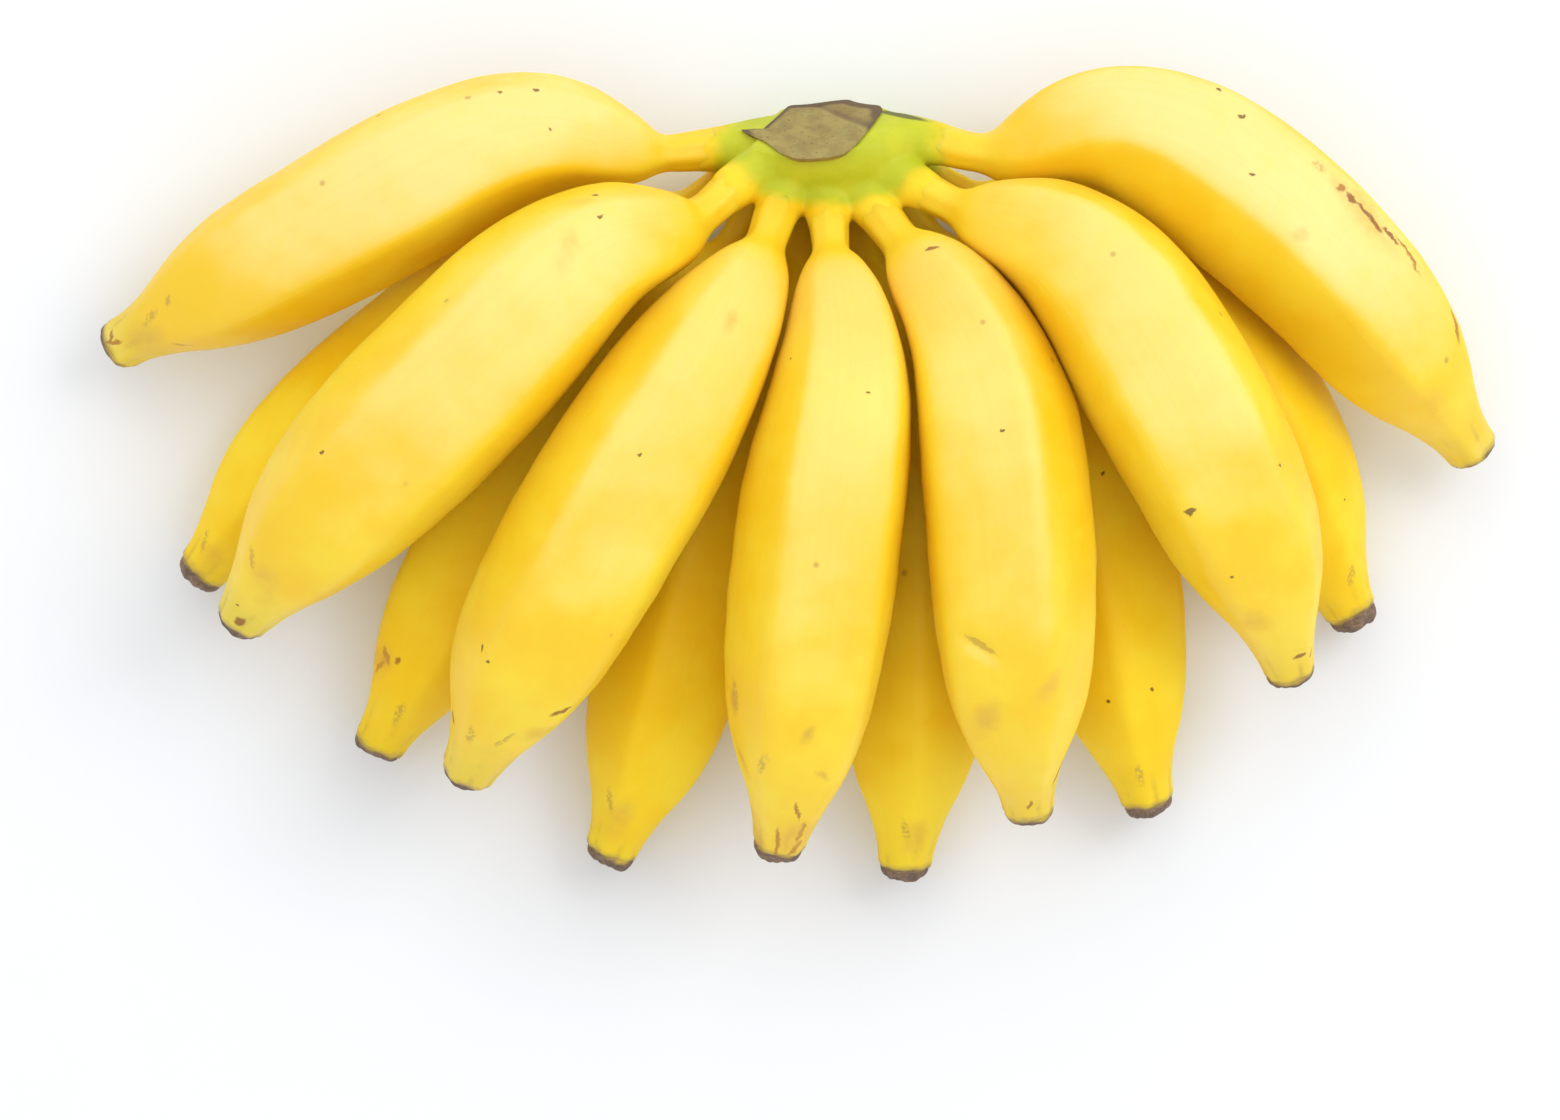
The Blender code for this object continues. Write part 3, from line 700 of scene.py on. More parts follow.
def peel_material(name, length, marks, tree, look):
    """Ripe peel of one banana with its own marks, and a painted sheen where the upper row faces the light."""
    sheet = Sheet("peel_" + name)
    place = sheet.place()
    shifted = sheet.vector("ADD", place, (0.31 * len(name) + 0.17 * int(name[-1]), 0.0, 0.0))
    flat = sheet.node("ShaderNodeUVMap", {"uv_map": "peel"}).outputs[0]
    along, ridge, pucker = [sheet.attribute(key) for key in PEEL_SHARES]
    clouds = sheet.noise(shifted, 42.0, 4.0, 0.55)
    patches = sheet.noise(shifted, 130.0, 3.0, 0.6)
    fibres = sheet.noise(sheet.stretched(flat, (14.0, 620.0, 1.0)), 1.0, 3.0, 0.6)
    colour = sheet.mix(sheet.ramp(clouds, 0.36, 0.66), look.deep, look.bright)
    # Painted sheen: the peel is painted pale yellow where it faces the light, on the upper row only
    facing = sheet.vector("DOT_PRODUCT", sheet.node("ShaderNodeTexCoord").outputs["Normal"], SHEEN_LIGHT_SIDE)
    height = sheet.plus(facing, sheet.swing(clouds, 0.5))
    sheen_share = sheet.ramp(height, SHEEN_REACH.get(name, SHEEN_REACH_ELSEWHERE), 0.99, 0.0, PAINTED_SHEEN.get(name, 0.0))
    sheen_share = sheet.times(sheen_share, sheet.ramp(along, *SHEEN_START.get(name, SHEEN_START_ELSEWHERE)))
    colour = sheet.mix(sheen_share, colour, look.sheen_colour)
    shoulder = sheet.times(sheet.ramp(along, 0.10, 0.15, 0.0, WARM_SHOULDERS.get(name, 0.0)),
                           sheet.ramp(along, 0.16, 0.34, 1.0, 0.0))
    colour = sheet.mix(shoulder, colour, SHOULDER_TINT)
    colour = sheet.tint(colour, PATCH_TINT, patches, 0.50, 0.78, 0.18)
    colour = sheet.tint(colour, FIBRE_TINT, fibres, 0.45, 0.80, 0.12)
    colour = sheet.tint(colour, RIDGE_TINT, ridge, 0.55, 1.0, 0.10)
    nose = sheet.plus(along, sheet.swing(patches, 0.10))
    colour = sheet.tint(colour, look.nose, nose, 0.87, 1.0, DULL_NOSES.get(name, DULL_ELSEWHERE))
    colour = sheet.mix(unripe_share(sheet, place, look.green_reach), colour, look.green)
    pucker = sheet.times(pucker, sheet.ramp(patches, 0.42, 0.62, 0.0, 0.35))
    colour = sheet.mix(pucker, colour, PUCKER_TINT)
    beyond = sheet.times(sheet.maths("SUBTRACT", along, 1.0), length)
    colour = wither(sheet, place, colour, sheet.plus(beyond, WITHERED[name] - TIP_REACH))
    spots = sheet.node("ShaderNodeTexVoronoi", Vector=shifted, Scale=150.0, Randomness=1.0)
    chance = sheet.node("ShaderNodeSeparateColor", Color=spots.outputs["Color"]).outputs[0]
    flecks = sheet.times(sheet.ramp(spots.outputs["Distance"], 0.05, 0.13, 1.0, 0.0),
                         sheet.ramp(chance, 0.90, 0.93, 0.0, 0.5))
    colour = sheet.mix(flecks, colour, FLECK_TINT)
    warp = sheet.node("ShaderNodeTexNoise", Vector=place, Scale=520.0, Detail=3.0, Roughness=0.65)
    warp = sheet.vector("SUBTRACT", warp.outputs["Color"], (0.5, 0.5, 0.5))
    ragged = sheet.vector("ADD", place, sheet.vector("MULTIPLY", warp, (MARK_WARP, MARK_WARP, MARK_WARP)))
    scratched = sheet.ramp(sheet.noise(place, 1500.0, 2.0), 0.34, 0.56)
    dry = 0.0
    for kind, pixel_x, pixel_y, mark_length, mark_width, turn in marks:
        spot = seen_spot(tree, pixel_x, pixel_y, turn)
        if spot is None:
            continue
        shade, strength, softness = MARK_LOOKS[kind]
        share = mark_share(sheet, ragged, spot, mark_length, mark_width, softness)
        if kind == "scuff":
            share = sheet.times(share, scratched)
        if kind in ("bruise", "halo", "smudge"):
            share = sheet.times(share, sheet.ramp(patches, 0.30, 0.62, 0.25, 1.0))
        share = sheet.times(share, strength)
        colour = sheet.mix(share, colour, shade)
        dry = sheet.maths("MAXIMUM", share, dry)
    wax = sheet.noise(shifted, 260.0, 4.0, 0.6)
    wax = sheet.ramp(wax, 0.3, 0.7, look.roughness - 0.05, look.roughness + 0.08)
    normal = sheet.bump(sheet.noise(shifted, 2100.0, 2.0, 0.5), 0.00005, 0.5)
    normal = sheet.bump(fibres, 0.00012, 0.35, normal)
    normal = sheet.bump(sheet.maths("SUBTRACT", 1.0, dry), 0.00018, 0.7, normal)
    wax = sheet.plus(wax, sheet.times(dry, 0.25))
    # Stronger specular on the upper row, weaker on the lower row, which lies in shade
    shine = 0.5 if name in PAINTED_SHEEN else 0.15
    return sheet.finish(colour, wax, normal, shine, (0.28, (1.0, 0.42, 0.06), 0.005))


def crown_material(look):
    """Green crown that turns yellow along the lobes, with a thin dry line beside the cut."""
    sheet = Sheet("crown_skin")
    place = sheet.place()
    clouds = sheet.noise(place, 150.0, 4.0, 0.6)
    fine = sheet.noise(place, 700.0, 3.0, 0.6)
    green = sheet.mix(sheet.ramp(clouds, 0.35, 0.68), (0.50, 0.54, 0.018), (0.58, 0.59, 0.026))
    green = sheet.tint(green, (0.36, 0.38, 0.03), fine, 0.55, 0.8, 0.08)
    ripe = sheet.mix(sheet.ramp(clouds, 0.35, 0.65), look.deep, look.bright)
    colour = sheet.mix(unripe_share(sheet, place, look.green_reach), ripe, green)
    streaks = sheet.noise(sheet.stretched(place, (260.0, 60.0, 60.0)), 1.0, 3.0, 0.6)
    colour = sheet.tint(colour, (0.34, 0.28, 0.05), streaks, 0.62, 0.78, 0.07)
    edge = sheet.vector("SUBTRACT", place, row_place(DRY_EDGE_MIDDLE))
    edge = sheet.node(
        "ShaderNodeVectorRotate", {"rotation_type": "Z_AXIS"}, Vector=edge, Angle=DRY_EDGE_TURN).outputs[0]
    edge = sheet.vector("LENGTH", sheet.vector("DIVIDE", edge, Vector(DRY_EDGE_SIZE) * MM))
    edge = sheet.plus(edge, sheet.times(clouds, 0.6))
    colour = sheet.mix(sheet.ramp(edge, 1.0, 1.5, 0.85, 0.0), colour, (0.09, 0.08, 0.03))
    normal = sheet.bump(streaks, 0.00015, 0.3, sheet.bump(fine, 0.0001, 0.4))
    return sheet.finish(colour, sheet.ramp(clouds, 0.3, 0.7, 0.42, 0.56), normal, 0.25,
                        (0.12, (0.5, 0.8, 0.1), 0.003))


def cut_material():
    """Dry brown skin of the cut, with fibres, dark vessel ends, a dark edge line, and painted shade along its
    lower arc, in its fold and beyond it.
    """
    sheet = Sheet("dry_cut")
    place = sheet.place()
    across = sheet.noise(sheet.stretched(place, (240.0, 300.0, 150.0)), 1.0, 5.0, 0.62, 0.3)
    clouds = sheet.noise(place, 190.0, 4.0, 0.6)
    fine = sheet.noise(place, 1400.0, 3.0, 0.6)
    colour = sheet.mix(sheet.ramp(across, 0.32, 0.70), (0.265, 0.19, 0.05), (0.385, 0.295, 0.08))
    colour = sheet.tint(colour, (0.33, 0.30, 0.10), clouds, 0.45, 0.75, 0.5)
    colour = sheet.tint(colour, (0.13, 0.085, 0.04), fine, 0.55, 0.75, 0.4)
    vessels = sheet.node("ShaderNodeTexVoronoi", Vector=place, Scale=620.0).outputs["Distance"]
    colour = sheet.mix(sheet.ramp(vessels, 0.08, 0.24, 0.45, 0.0), colour, (0.10, 0.065, 0.03))
    # Dark edge line round the cut, with a painted shadow along its lower arc and painted shade in the fold
    # and on the facet beyond it
    colour = sheet.tint(colour, (0.12, 0.07, 0.04), sheet.attribute("rim"), 0.25, 0.95, 0.9)
    normal = sheet.bump(fine, 0.0002, 0.7, sheet.bump(across, 0.0006, 0.8))
    return sheet.finish(colour, sheet.ramp(clouds, 0.3, 0.7, 0.62, 0.85), normal)


def tip_material(look):
    """Dried blossom end: peel that turns grey brown, with tan scuffs and black folds."""
    sheet = Sheet("dry_tip")
    place = sheet.place()
    clouds = sheet.noise(place, 420.0, 4.0, 0.65)
    fine = sheet.noise(place, 1700.0, 4.0, 0.65)
    colour = wither(sheet, place, sheet.mix(0.75, look.bright, look.nose), sheet.attribute("beyond"))
    colour = sheet.tint(colour, DRY_FOLD, sheet.attribute("fold"), 0.3, 1.0, 0.9)
    normal = sheet.bump(clouds, 0.0005, 0.6, sheet.bump(fine, 0.0003, 0.9))
    return sheet.finish(colour, sheet.ramp(clouds, 0.3, 0.7, 0.68, 0.9), normal)


# Bananas, in millimetres but for the warp of the marks' edges, which is in metres

PEEL_SHARES = ("along", "ridge", "pucker")
MARK_WARP = 0.0019
SKIN_START = -0.008
PLEATS = 9
PLEAT_HEIGHT = 0.13
STALK_LINES = 7
STALK_LINE_HEIGHT = 0.09
FLOOR_GAP = 0.02
MAP_RADIUS = 15

# Low swells of the peel: turns of the pattern in a millimetre, and height in millimetres
SWELLS = ((0.045, 0.42), (0.16, 0.12))


def skin_reach(name):
    """Where the sound peel ends, in millimetres past the end of the banana's line."""
    return min(max(TIP_REACH - WITHERED[name] + 0.2, -1.0), 1.1)


def finger_places(name, lines, detail):
    """Skin of one banana in millimetres, with its spokes, ridge and pucker shares, stations and length."""
    full_radius, turn, points = BANANAS[name]
    sides = detail.sides
    even = np.linspace(0.0, 1.0, detail.stations)
    length = even_path(points, even)[1]
    end = 1.0 + skin_reach(name) / length
    crowded = 0.7 * even + 0.3 * (1 - np.cos(math.pi * even)) / 2
    fractions = SKIN_START + (end - SKIN_START) * crowded
    path, length = even_path(points, fractions)
    along, side, up = path_frames(path)
    angles = np.arange(sides) / sides * math.tau
    turned = angles - math.radians(turn)
    ridges = pentagon(turned)
    strength = soft_step(fractions, 0.06, 0.20) * (1 - 0.7 * soft_step(fractions, 0.84, 1.0)) * detail.ridge
    rounding = 0.3 * np.clip((fractions - end) * length + 0.9, 0, 1) ** 2
    sizes = girth(np.minimum(fractions, 1.0), full_radius) - rounding
    radii = sizes[:, None] * (1 + strength[:, None] * ridges[None, :])
    waves = np.cos(PLEATS * angles + 2 * np.sin(2 * angles))
    lines_on_stalk = np.cos(STALK_LINES * angles + turn)
    radii = radii + PLEAT_HEIGHT * soft_step(fractions, 0.90, 1.0)[:, None] * waves
    radii = radii + STALK_LINE_HEIGHT * (1 - soft_step(fractions, 0.06, 0.16))[:, None] * lines_on_stalk
    spokes = side[:, None, :] * np.cos(angles)[None, :, None] + up[:, None, :] * np.sin(angles)[None, :, None]
    skin = path[:, None, :] + spokes * radii[:, :, None]
    centres = np.repeat(path[:, None, :], sides, axis=1)
    others = [line for other, line in lines.items() if other != name]
    shares = press_apart(skin.reshape(-1, 3), centres.reshape(-1, 3), lines[name], others)
    shares = ease_edges(shares.reshape(len(path), sides))
    skin = centres + (skin - centres) * shares[:, :, None]
    crest = np.clip(np.cos(2.5 * turned) ** 2 * 1.3 - 0.3, 0, 1)[None, :] * (strength / detail.ridge)[:, None]
    pucker = np.clip(-4 * waves - 3, 0, 1)[None, :] * soft_step(fractions, 0.92, 0.99)[:, None]
    return skin, spokes, crest, pucker, fractions, length


def wobble(skin, spokes, name):
    """Low swells of the peel, different on each banana."""
    offset = Vector((len(name) * 3.1, int(name[-1]) * 7.7, 0.0))
    heights = np.empty(skin.shape[:2])
    for row in range(skin.shape[0]):
        for side in range(skin.shape[1]):
            place = Vector(skin[row, side])
            heights[row, side] = sum(height * noise.noise(place * rate + offset) for rate, height in SWELLS)
    return skin + spokes * heights[:, :, None]


def press_dents(skin, tree, dents):
    """Shallow hollows where the peel was pressed."""
    for pixel_x, pixel_y, length, width, depth, turn in dents:
        spot = seen_spot(tree, pixel_x, pixel_y, turn)
        if spot is None:
            continue
        point, basis = spot
        local = (skin - np.array(point) / MM) @ np.array(basis)
        shape = ((local / (length, width, length) * 2) ** 2).sum(axis=2)
        skin = skin - np.array(basis.col[2])[None, None, :] * (depth * np.exp(-shape))[:, :, None]
    return skin


class HAND_OT_bananas(bpy.types.Operator):
    """Model the thirteen bananas with their stalks and marked peel"""

    bl_idname = "hand.bananas"
    bl_label = "Bananas"

    def execute(self, context):
        detail = context.scene.hand_detail
        lines = centre_lines()
        for name in BANANAS:
            skin, spokes, crest, pucker, fractions, length = finger_places(name, lines, detail)
            skin = wobble(skin, spokes, name)
            tree = skin_tree(skin)
            skin = press_dents(skin, tree, DENTS.get(name, ()))
            skin[:, :, 2] = np.maximum(skin[:, :, 2], FLOOR_GAP)
            bm, grid, layers = tube_grid(detail.sides, detail.stations, *PEEL_SHARES)
            place_grid(grid, skin)
            wrap_map(bm, grid, fractions * length * MM, math.tau * MAP_RADIUS * MM)
            for row, fraction, crests, folds in zip(grid, fractions, crest, pucker):
                for vertex, *shares in zip(row, crests, folds):
                    for layer, share in zip(layers, (fraction, *shares)):
                        vertex[layer] = share
            material = peel_material(name, length, MARKS[name], tree, context.scene.hand_peel)
            piece = finish_mesh(bm, "banana_" + name, material)
            dress(piece, "finger_" + name)
        return {"FINISHED"}


# Blossom ends, in millimetres from the end of the banana's line

TIP_SIDES = 72
TIP_STATIONS = 40
TIP_REACH = 2.1
TIP_RISES = (0.0, 0.25, 0.5, 0.7, 0.85, 0.96, 1.0)
TIP_DROPS = (0.12, 0.5, 0.9, 1.1)
TIP_RADII = (4.0, 4.35, 4.6, 4.58, 4.45, 4.2, 3.85, 3.4, 2.9, 2.2, 1.5, 0.8, 0.05)
LOBE_HEIGHT = 0.12
FOLD_HEIGHT = 0.05
TILT_HEIGHT = 0.24
RAGGED_HEIGHT = 0.16


def tip_outline(share, start):
    """Height and radius of the blossom end along its outline, from where it leaves the peel to the hollow."""
    heights = [start - 0.9, start - 0.3] + [start + (TIP_REACH - start) * rise for rise in TIP_RISES]
    heights += [TIP_REACH - drop for drop in TIP_DROPS]
    places = np.linspace(0.0, 1.0, len(heights))
    return np.interp(share, places, heights), np.interp(share, places, TIP_RADII)


class HAND_OT_tips(bpy.types.Operator):
    """Model the dry, crinkled blossom end of each banana"""

    bl_idname = "hand.tips"
    bl_label = "Dry tips"

    def execute(self, context):
        material = tip_material(context.scene.hand_peel)
        for index, (name, banana) in enumerate(BANANAS.items()):
            path, length = even_path(banana[2], np.linspace(0.0, 1.0, LINE_SAMPLES))
            along, side, up = path_frames(path)
            angles = np.arange(TIP_SIDES) / TIP_SIDES * math.tau
            shares = np.linspace(0.0, 1.0, TIP_STATIONS)
            heights, radii = tip_outline(shares, skin_reach(name))
            outer = soft_step(shares, 0.15, 0.6)[:, None]
            lobes = np.cos(3 * angles + index * 1.3) + 0.6 * np.cos(5 * angles + index * 2.1)
            folds = np.cos(11 * angles + 2.0 * np.sin(2 * angles + index))
            tilt = np.cos(angles + index * 2.4)
            crinkles = LOBE_HEIGHT * lobes + FOLD_HEIGHT * folds + TILT_HEIGHT * tilt
            reach = heights[:, None] + outer * crinkles
            breadth = radii[:, None] * (1 + 0.012 * lobes[None, :] + outer * 0.015 * folds[None, :])
            spokes = side[-1] * np.cos(angles)[:, None] + up[-1] * np.sin(angles)[:, None]
            places = path[-1] + along[-1] * reach[:, :, None] + spokes[None, :, :] * breadth[:, :, None]
            for row in range(TIP_STATIONS):
                for column in range(TIP_SIDES):
                    ragged = noise.noise(Vector(places[row, column]) * 0.9) * float(outer[row, 0])
                    places[row, column] += along[-1] * ragged * RAGGED_HEIGHT
            places[:, :, 2] = np.maximum(places[:, :, 2], FLOOR_GAP)
            bm, grid, (fold_layer, beyond_layer) = tube_grid(TIP_SIDES, TIP_STATIONS, "fold", "beyond")
            place_grid(grid, places)
            for row, share, height in zip(grid, shares, heights):
                inner = 2.0 * float(soft_step(share, 0.62, 0.75))
                hollow = 0.9 * float(soft_step(share, 0.60, 0.85))
                creased = 0.35 * float(soft_step(share, 0.3, 0.6))
                for vertex, fold in zip(row, folds):
                    vertex[beyond_layer] = height - TIP_REACH + WITHERED[name] + inner
                    vertex[fold_layer] = hollow + creased * max(-fold, 0.0)
            piece = finish_mesh(bm, "blossom_end_" + name, material)
            dress(piece, "tip_" + name)
        return {"FINISHED"}


# Crown and cut, placed from the crown's middle in millimetres

PAD_CENTRE = (0.3, -0.6, 17.0)
PAD_SIZE = (19.2, 10.2, 13.5)
LOBE_ROOT_RADIUS = 7.6
LOBE_SIDES = 32
LOBE_STATIONS = 24
LOBE_OVERRUN = 4.5
CUT_MIDDLE = (-3.6, 4.1, 22.5)
CUT_NORMAL = (-0.12, 0.82, 0.54)
SIDE_CUT_POINT = (-9.8, 5.6, 20.0)
SIDE_CUT_NORMAL = (-0.7, 0.7, 0.15)
CUT_DEPTH = 0.45
CUT_SIDES = 120
CUT_STATIONS = 44

# Corners of the dry cut, as pixels in the photograph
CUT_OUTLINE = (
    (740, 129), (751, 131), (759, 132), (774, 119), (789, 105), (808, 104), (829, 101), (848, 99),
    (856, 102), (868, 104), (880, 105), (883, 110), (871, 127), (858, 143), (846, 153), (832, 157),
    (812, 159), (796, 159), (780, 153), (764, 141), (751, 135), (744, 132),
)

# Section of the dry cut from its underside over the rim to its middle, by the share of the way
CUT_HEIGHTS = ((0.0, -1.2), (0.1, -0.25), (0.14, -0.05), (0.3, 0.05), (1.0, 0.05))
CUT_WIDTHS = ((0.0, 0.92), (0.1, 0.985), (0.14, 1.0), (1.0, 0.004))
FOLD_DEPTH = 0.26
FOLD_LINE = 5.4


def lobe_mesh(bm, banana):
    """One lobe of the crown, which runs out and thins away under the stalk's skin."""
    fractions = np.linspace(-0.001, 0.06, 8)
    path, length = even_path(banana[2], fractions)
    start = Vector(path[0])
    along = (Vector(path[1]) - start).normalized()
    pad = Vector(PAD_CENTRE) + Vector(CROWN_PLACE)
    inner = start.lerp(pad, 0.75)
    tangent = along * (start - inner).length
    part, grid = tube_grid(LOBE_SIDES, LOBE_STATIONS)[:2]
    side = along.cross(Vector((0, 0, 1))).normalized()
    up = side.cross(along)
    runs = np.linspace(0.0, 1.0, LOBE_STATIONS)
    for row, run in zip(grid, runs):
        share = min(run / 0.72, 1.0)
        pull = (start - inner) * (share - 2 * share ** 2 + share ** 3) + tangent * (share ** 3 - share ** 2)
        centre = inner.lerp(start, 3 * share ** 2 - 2 * share ** 3) + pull
        blend = 3 * share ** 2 - 2 * share ** 3
        radius = LOBE_ROOT_RADIUS + (STALK_RADIUS + STALK_FLARE + 0.35 - LOBE_ROOT_RADIUS) * blend
        if run > 0.72:
            over = (run - 0.72) / 0.28
            centre = centre + along * LOBE_OVERRUN * over
            radius -= 0.9 * over
        for vertex, angle in zip(row, np.arange(LOBE_SIDES) / LOBE_SIDES * math.tau):
            vertex.co = (centre + side * (radius * math.cos(angle)) + up * (radius * math.sin(angle))) * MM
    bmesh.ops.recalc_face_normals(part, faces=part.faces)
    loose = bpy.data.meshes.new("lobe")
    part.to_mesh(loose)
    part.free()
    bm.from_mesh(loose)
    bpy.data.meshes.remove(loose)


def one_skin(piece, voxel):
    """Melt overlapping shells into one skin."""
    remesh = piece.modifiers.new("one_skin", "REMESH")
    remesh.mode = "VOXEL"
    remesh.voxel_size = voxel
    bpy.context.view_layer.update()
    mesh = bpy.data.meshes.new_from_object(piece.evaluated_get(bpy.context.evaluated_depsgraph_get()))
    piece.modifiers.clear()
    old = piece.data
    piece.data = mesh
    bpy.data.meshes.remove(old)


def cut_away(bm, point, normal):
    """Remove what lies beyond a plane and close the body with a flat face."""
    geometry = list(bm.verts) + list(bm.edges) + list(bm.faces)
    cut = bmesh.ops.bisect_plane(
        bm, geom=geometry, dist=1e-7, plane_co=point, plane_no=normal, clear_outer=True)
    edges = [item for item in cut["geom_cut"] if isinstance(item, bmesh.types.BMEdge)]
    bmesh.ops.contextual_create(bm, geom=edges)


def cut_frame():
    """Middle, sideways, upward and outward vectors of the cut, in the frame."""
    normal = Vector(CUT_NORMAL).normalized()
    side = Vector((0, 0, 1)).cross(normal).normalized() * -1
    return row_place(CUT_MIDDLE), side, normal.cross(side) * -1, normal


def cut_outline(middle, side, up, normal):
    """Points along the edge of the dry cut, in millimetres sideways and upward from its middle."""
    corners = []
    for pixel_x, pixel_y in CUT_OUTLINE:
        start, direction = pixel_ray(pixel_x, pixel_y)
        spot = start + direction * ((middle - start).dot(normal) / direction.dot(normal)) - middle
        corners.append((spot.dot(side) / MM, spot.dot(up) / MM))
    closed = np.array(corners + corners[:1])
    lengths = np.concatenate(([0.0], np.cumsum(np.linalg.norm(np.diff(closed, axis=0), axis=1))))
    wanted = np.linspace(0.0, lengths[-1], CUT_SIDES, endpoint=False)
    points = np.column_stack([np.interp(wanted, lengths, closed[:, axis]) for axis in range(2)])
    return (np.roll(points, 1, axis=0) + 2 * points + np.roll(points, -1, axis=0)) / 4


class HAND_OT_crown(bpy.types.Operator):
    """Model the green crown that holds the bananas together"""

    bl_idname = "hand.crown"
    bl_label = "Crown"

    def execute(self, context):
        bm = bmesh.new()
        bmesh.ops.create_icosphere(bm, subdivisions=5, radius=1.0)
        for vertex in bm.verts:
            local = Vector([c * s + o for c, s, o in zip(vertex.co, PAD_SIZE, PAD_CENTRE)])
            vertex.co = row_place(local)
        cut_away(bm, row_place(SIDE_CUT_POINT), Vector(SIDE_CUT_NORMAL).normalized())
        for banana in BANANAS.values():
            lobe_mesh(bm, banana)
        piece = finish_mesh(bm, "crown_pad", None)
        one_skin(piece, context.scene.hand_detail.crown_voxel)
        bm = bmesh.new()
        bm.from_mesh(piece.data)
        for turn in range(16):
            bmesh.ops.smooth_vert(
                bm, verts=bm.verts, factor=0.5, use_axis_x=True, use_axis_y=True, use_axis_z=True)
        middle, side, up, normal = cut_frame()
        cut_away(bm, middle - normal * CUT_DEPTH * MM, normal)
        bm.normal_update()
        for vertex in bm.verts:
            place = vertex.co / MM
            lift = 0.22 * noise.noise(place * 0.14) + 0.06 * noise.noise(place * 0.5)
            if (vertex.co - middle).dot(normal) < -(CUT_DEPTH + 0.05) * MM:
                vertex.co += vertex.normal * lift * MM
        bmesh.ops.recalc_face_normals(bm, faces=bm.faces)
        bm.to_mesh(piece.data)
        bm.free()
        piece.data.shade_smooth()
        piece.data.materials.clear()
        piece.data.materials.append(crown_material(context.scene.hand_peel))
        dress(piece, "crown")
        return {"FINISHED"}


class HAND_OT_cut(bpy.types.Operator):
    """Model the dry brown face where the hand was cut from its main stalk"""

    bl_idname = "hand.cut"
    bl_label = "Dry cut"

    def execute(self, context):
        middle, side, up, normal = cut_frame()
        outline = cut_outline(middle, side, up, normal)
        bm, grid, (rim_and_shade_layer,) = tube_grid(CUT_SIDES, CUT_STATIONS, "rim")
        for row, share in zip(grid, np.linspace(0.0, 1.0, CUT_STATIONS)):
            rise = np.interp(share, *zip(*CUT_HEIGHTS))
            inward = np.interp(share, *zip(*CUT_WIDTHS))
            for vertex, (across, above) in zip(row, outline):
                flat = side * (across * inward) + up * (above * inward)
                slant = flat.dot(side) * 0.62 - flat.dot(up) * 0.5
                fold = FOLD_DEPTH * math.exp(-((slant - FOLD_LINE) / 0.9) ** 2)
                lift = rise - (fold if share > 0.25 else 0.0)
                if share > 0.15:
                    lift += 0.22 * noise.noise(flat * 0.22) + 0.10 * noise.noise(flat * 0.9)
                vertex.co = middle + (flat + normal * lift) * MM
                # Rim share: a dark edge line all round, deepened on the lower arc by a painted shadow, plus
                # painted shade in the fold and on the facet beyond it
                low = float(soft_step(-above, -1.0, 2.0))
                edge = float(1 - soft_step(share, 0.15 + 0.03 * low, 0.23 + 0.08 * low))
                shaded_facet = float(soft_step(slant, 5.0, 7.0))
                vertex[rim_and_shade_layer] = (0.4 + 0.6 * low) * edge + 2.4 * fold + 0.42 * shaded_facet
        piece = finish_mesh(bm, "cut_skin", cut_material())
        dress(piece, "cut_face")
        return {"FINISHED"}


# Studio


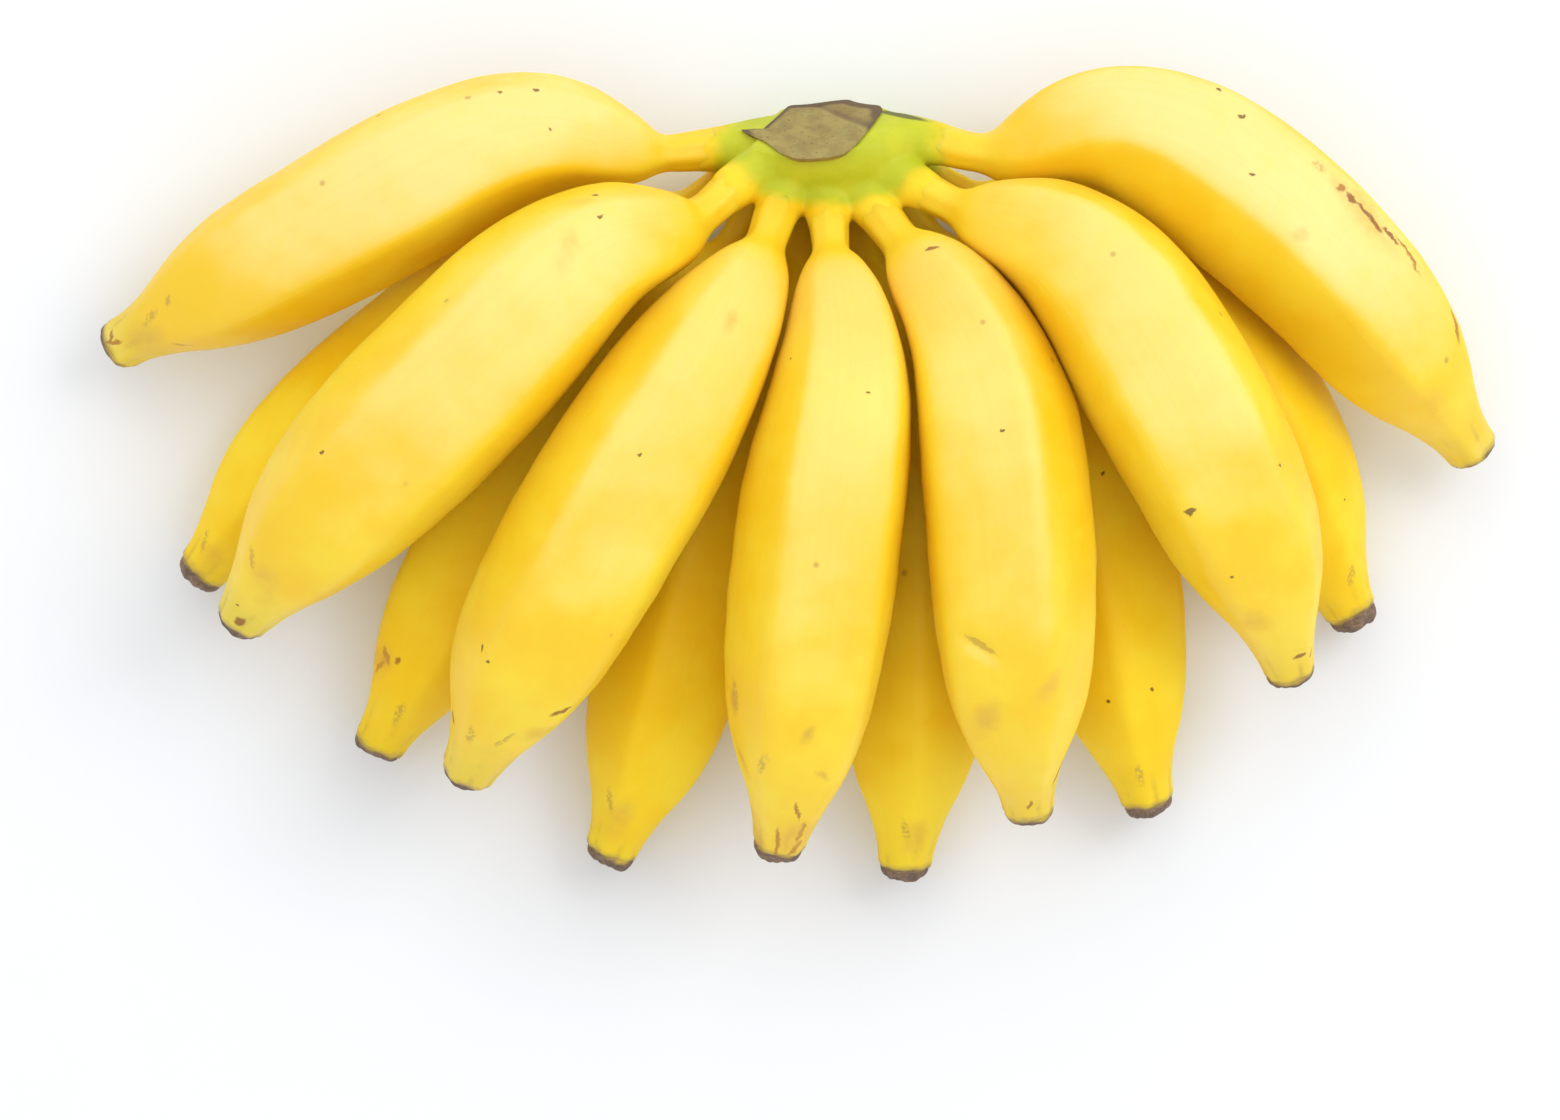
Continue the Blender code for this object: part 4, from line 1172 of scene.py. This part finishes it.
class HAND_OT_studio(bpy.types.Operator):
    """Set up the camera, the pale floor and the soft light"""

    bl_idname = "hand.studio"
    bl_label = "Studio"

    def execute(self, context):
        look = context.scene.hand_studio
        camera = bpy.data.cameras.new("camera")
        camera.sensor_width = SENSOR_WIDTH
        camera.lens = SENSOR_WIDTH * CAMERA_DISTANCE / (PHOTO_WIDTH * MM_PER_PIXEL)
        camera.clip_start = 0.05
        holder = bpy.data.objects.new("camera", camera)
        holder.location = camera_place()
        context.collection.objects.link(holder)
        context.scene.camera = holder
        bm = bmesh.new()
        bmesh.ops.create_grid(bm, x_segments=2, y_segments=2, size=6.0)
        sheet = Sheet("pale_table")
        grain = sheet.noise(sheet.place(), 60.0, 4.0)
        colour = sheet.mix(sheet.ramp(grain, 0.3, 0.7, 0.0, 0.2), look.floor, (0.85, 0.865, 0.895))
        floor = finish_mesh(bm, "table_top", sheet.finish(colour, 0.75, specular=0.2))
        self.add_light("key_light", (0.70, 0.45, 0.85), 0.6, look.key)
        self.add_light("top_light", (-0.30, 0.95, 0.75), 0.9, look.key * 0.45)
        world = bpy.data.worlds.new("sky")
        world.use_nodes = True
        sky = world.node_tree.nodes["Background"].inputs
        sky["Color"].default_value = (0.97, 0.985, 1.0, 1.0)
        sky["Strength"].default_value = look.sky
        context.scene.world = world
        context.scene.view_settings.view_transform = "Standard"
        context.scene.view_settings.look = "None"
        return {"FINISHED"}

    def add_light(self, name, place, size, power):
        """Soft square light that faces the hand."""
        lamp = bpy.data.lights.new(name, "AREA")
        lamp.size = size
        lamp.energy = power
        holder = bpy.data.objects.new(name, lamp)
        holder.location = place
        holder.rotation_euler = (-Vector(place)).to_track_quat("-Z", "Y").to_euler()
        bpy.context.collection.objects.link(holder)


class HAND_PT_panel(bpy.types.Panel):
    """List the steps that model the hand"""

    bl_idname = "HAND_PT_panel"
    bl_label = "Hand of bananas"
    bl_space_type = "VIEW_3D"
    bl_region_type = "UI"
    bl_category = "Bananas"

    def draw(self, context):
        for step in STEPS:
            self.layout.operator(step.bl_idname)
        for group in (context.scene.hand_peel, context.scene.hand_detail, context.scene.hand_studio):
            for key in group.bl_rna.properties.keys():
                if key not in ("rna_type", "name"):
                    self.layout.prop(group, key)


STEPS = (HAND_OT_studio, HAND_OT_bananas, HAND_OT_tips, HAND_OT_crown, HAND_OT_cut)
GROUPS = {"hand_peel": PeelLook, "hand_detail": MeshDetail, "hand_studio": StudioLook}


def register():
    for item in (*GROUPS.values(), *STEPS, HAND_PT_panel):
        bpy.utils.register_class(item)
    for key, group in GROUPS.items():
        setattr(bpy.types.Scene, key, bpy.props.PointerProperty(type=group))


def unregister():
    for key in GROUPS:
        delattr(bpy.types.Scene, key)
    for item in (HAND_PT_panel, *reversed(STEPS), *reversed(GROUPS.values())):
        bpy.utils.unregister_class(item)


def main():
    register()
    bpy.ops.hand.studio()
    bpy.ops.hand.bananas()
    bpy.ops.hand.tips()
    bpy.ops.hand.crown()
    bpy.ops.hand.cut()


if __name__ == "__main__":
    main()
